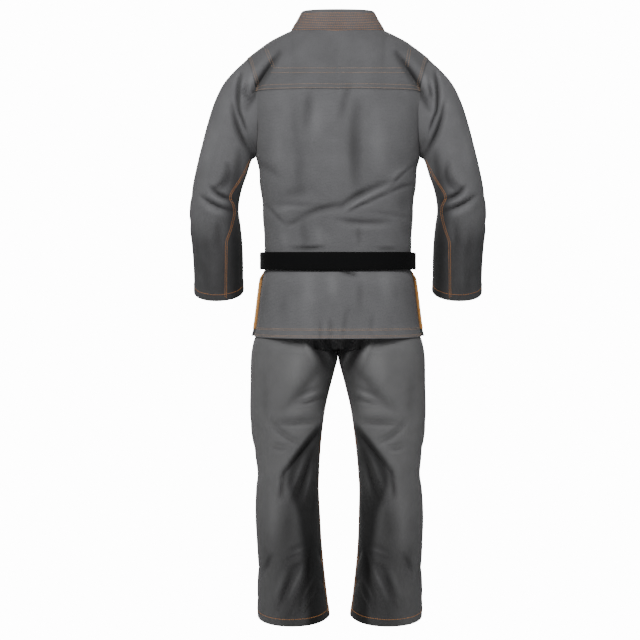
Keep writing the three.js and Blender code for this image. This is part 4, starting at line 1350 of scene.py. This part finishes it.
def leg_surface(side, q, height):
    turn = np.pi * (1 - 2 * q)
    c = np.cos(turn)
    s = np.sin(turn)
    grow = rounded(c, s, LEG_ROUND)
    low = np.minimum(height, CROTCH)
    inner = LEG["inner"](low)
    outer = np.where(height > CROTCH, SEAT["width"](height), LEG["outer"](height))
    leg_x = (inner + outer) / 2 + (outer - inner) / 2 * c * grow
    leg_y = LEG["middle_y"](low) + LEG["depth"](low) * s * grow
    rise = np.clip((height - RISE_START) / (CROTCH - RISE_START), 0.0, 1.0)
    round_seam = 1 - np.sqrt(1 - rise * rise)
    seam_share = lerp(smooth(rise, 0, 1), round_seam, smooth(-c, -0.3, 0.85))
    leg_share = np.where(height <= CROTCH, 1.0, seam_share)
    hc = np.cos(turn / 2)
    hs = np.sin(turn / 2)
    half_grow = rounded(hc, hs, SQUARENESS)
    depth = np.where(hs > 0, SEAT["back"](height), SEAT["front"](height))
    seat_x = np.maximum(SEAT["width"](height) * hc * half_grow, SEAM_GAP / 2)
    x = lerp(seat_x, leg_x, leg_share)
    y = lerp(depth * hs * half_grow, leg_y, leg_share)
    from_inseam = np.degrees(np.pi - np.abs(turn))
    near_hem = 1 - smooth(height, TROUSER_HEM, TROUSER_HEM + 190)
    x = x - INSEAM_PINCH * np.exp(-(from_inseam / 20) ** 2) * near_hem
    sway = LEG_SWAY * smooth(-height, 850, 1250)
    point = np.stack([side * x - sway, y, height + 0 * x], axis=-1)
    open_below = 1 - smooth(height, HEM - 10, HEM + 30)
    back_lift = relief(LEG_BACK_CREASES, *seen(point, 1))
    front_lift = -relief(LEG_FRONT_CREASES, *seen(point, -1))
    lift = np.where(s >= 0, back_lift, front_lift)
    point[..., 1] += DEPTH_OF_FOLDS * np.abs(s) * open_below * lift
    point[..., 2] -= HEM_DIP * s * (1 - smooth(height, TROUSER_HEM, TROUSER_HEM + 200))
    return point


SHADE_EDGE = curve([420, 450, 478, 515, 560, 612], [322, 300, 286, 297, 303, 307])


def leg_shade(points):
    """Painted shade: the colour is darker at the crotch, inside the thighs and below the knees, as in the
    photo.
    """
    across, down = seen(points, 1)
    across = MIDDLE_ACROSS - np.abs(across - MIDDLE_ACROSS)
    crotch = 0.66 * np.exp(-((across - 325) / 11) ** 2) * (1 - smooth(down, 350, 396))
    thigh = 0.5 * smooth(across + 0.16 * (down - 360), 314, 332) * smooth(down, 340, 370)
    thigh = thigh * (1 - smooth(down, 395, 425))
    knee = 0.74 * smooth(across - SHADE_EDGE(down), -4, 5) * smooth(down, 421, 430)
    calf = 0.36 * smooth(down, 450, 570) + 0.26 * smooth(across, 264, 290) * smooth(down, 480, 556)
    shin = 0.17 * smooth(across, 270, 286) * smooth(down, 482, 500) * (1 - smooth(down, 512, 548))
    return (1 - crotch) * (1 - thigh) * (1 - knee) * (1 - calf) * (1 - shin)


plain_twill = woven("grey_plain_cotton", rgb(120, 120, 121), 0.9, 0.9, 0.22, 0.12, 0.14)
HEM_TURNED = 19.0
HEM_TURNED_PROUD = 0.6
leg_heights = np.concatenate([
    lerp(TROUSER_HEM, CROTCH, steps(LEG_ROWS))[:-1],
    lerp(CROTCH, WAIST, steps(SEAT_ROWS)),
])
for side, word in SIDES:
    q = steps(LEG_COLUMNS)[:, None] + 0 * leg_heights[None, :]
    height = leg_heights[None, :] + 0 * q
    grid = leg_surface(side, q, height)
    normals = grid_normals(grid, -side)
    turn = np.degrees(np.pi * (1 - 2 * q))
    hidden = round_relief(LEG_ROUND_CREASES, turn, height, 500, 1.0)
    fade = smooth(np.minimum(q, 1 - q), 0.0, 0.06) * (1 - smooth(height, HEM - 60, HEM - 10))
    grid = grid + normals * (hidden * fade)[..., None]
    joined = np.arange(len(leg_heights)) <= LEG_ROWS
    hem = HEM_TURNED_PROUD * (1 - smooth(run_lengths(grid, 1), HEM_TURNED - 2, HEM_TURNED + 1))
    # Painted shade: darker down in the folds on the back, and darker at the crotch, inside the thighs and
    # below the knees, at a third of the strength on the front.
    facing_back = smooth(np.sin(np.radians(turn)), -0.5, 0.2)
    folds = lerp(1.0, shade_in_folds(grid + [0, 120, 0], LEG_BACK_CREASES), facing_back)
    shade = lerp(lerp(1.0, leg_shade(grid), 0.3), leg_shade(grid), facing_back)
    trouser, trouser_cloth = cloth_piece(
        "trouser_" + word + "_cloth", grid, TROUSER_CLOTH, -side, plain_twill, joined=joined, proud=hem,
        painted_shading=folds * shade)
    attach(trouser, "root")
    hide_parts("trouser_" + word)
    trouser_stitches = stitching("trouser_" + word + "_stitches", [
        row_from_hem(trouser_cloth, HEM_TURNED - 2.5),
        column_from_edge(trouser_cloth, 12, 2, LEG_ROWS - 4),
        column_from_edge(trouser_cloth, 17, 2, LEG_ROWS - 4),
    ], bright_thread, SEAM_THREAD, SEAM_PITCH)


# Waistband
# A folded band round the top of the trousers, with a row of stitches near each edge. The jacket hides it.
WAISTBAND = 40.0
WAISTBAND_THICK = 2.6
WAISTBAND_ROWS = 10
band_turn = steps(160)[:, None] * 2 * np.pi
band_rise = steps(WAISTBAND_ROWS)[None, :]
c = np.cos(band_turn)
s = np.sin(band_turn)
grow = rounded(c, s, SQUARENESS)
depth = np.where(s > 0, SEAT["back"](WAIST), SEAT["front"](WAIST))
waist_grid = np.stack(np.broadcast_arrays(
    SEAT["width"](WAIST) * c * grow,
    depth * s * grow,
    WAIST + SEAM_GAP + band_rise * WAISTBAND,
), axis=-1)
waistband, waist_cloth = cloth_piece("waistband_cloth", waist_grid, WAISTBAND_THICK, 1, plain_twill,
                                     joined=np.ones(WAISTBAND_ROWS + 1, bool))
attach(waistband, "root")
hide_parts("waistband")
waist_stitches = stitching("waistband_stitches", [
    row_from_hem(waist_cloth, 4),
    row_from_hem(waist_cloth, WAISTBAND - 4),
])
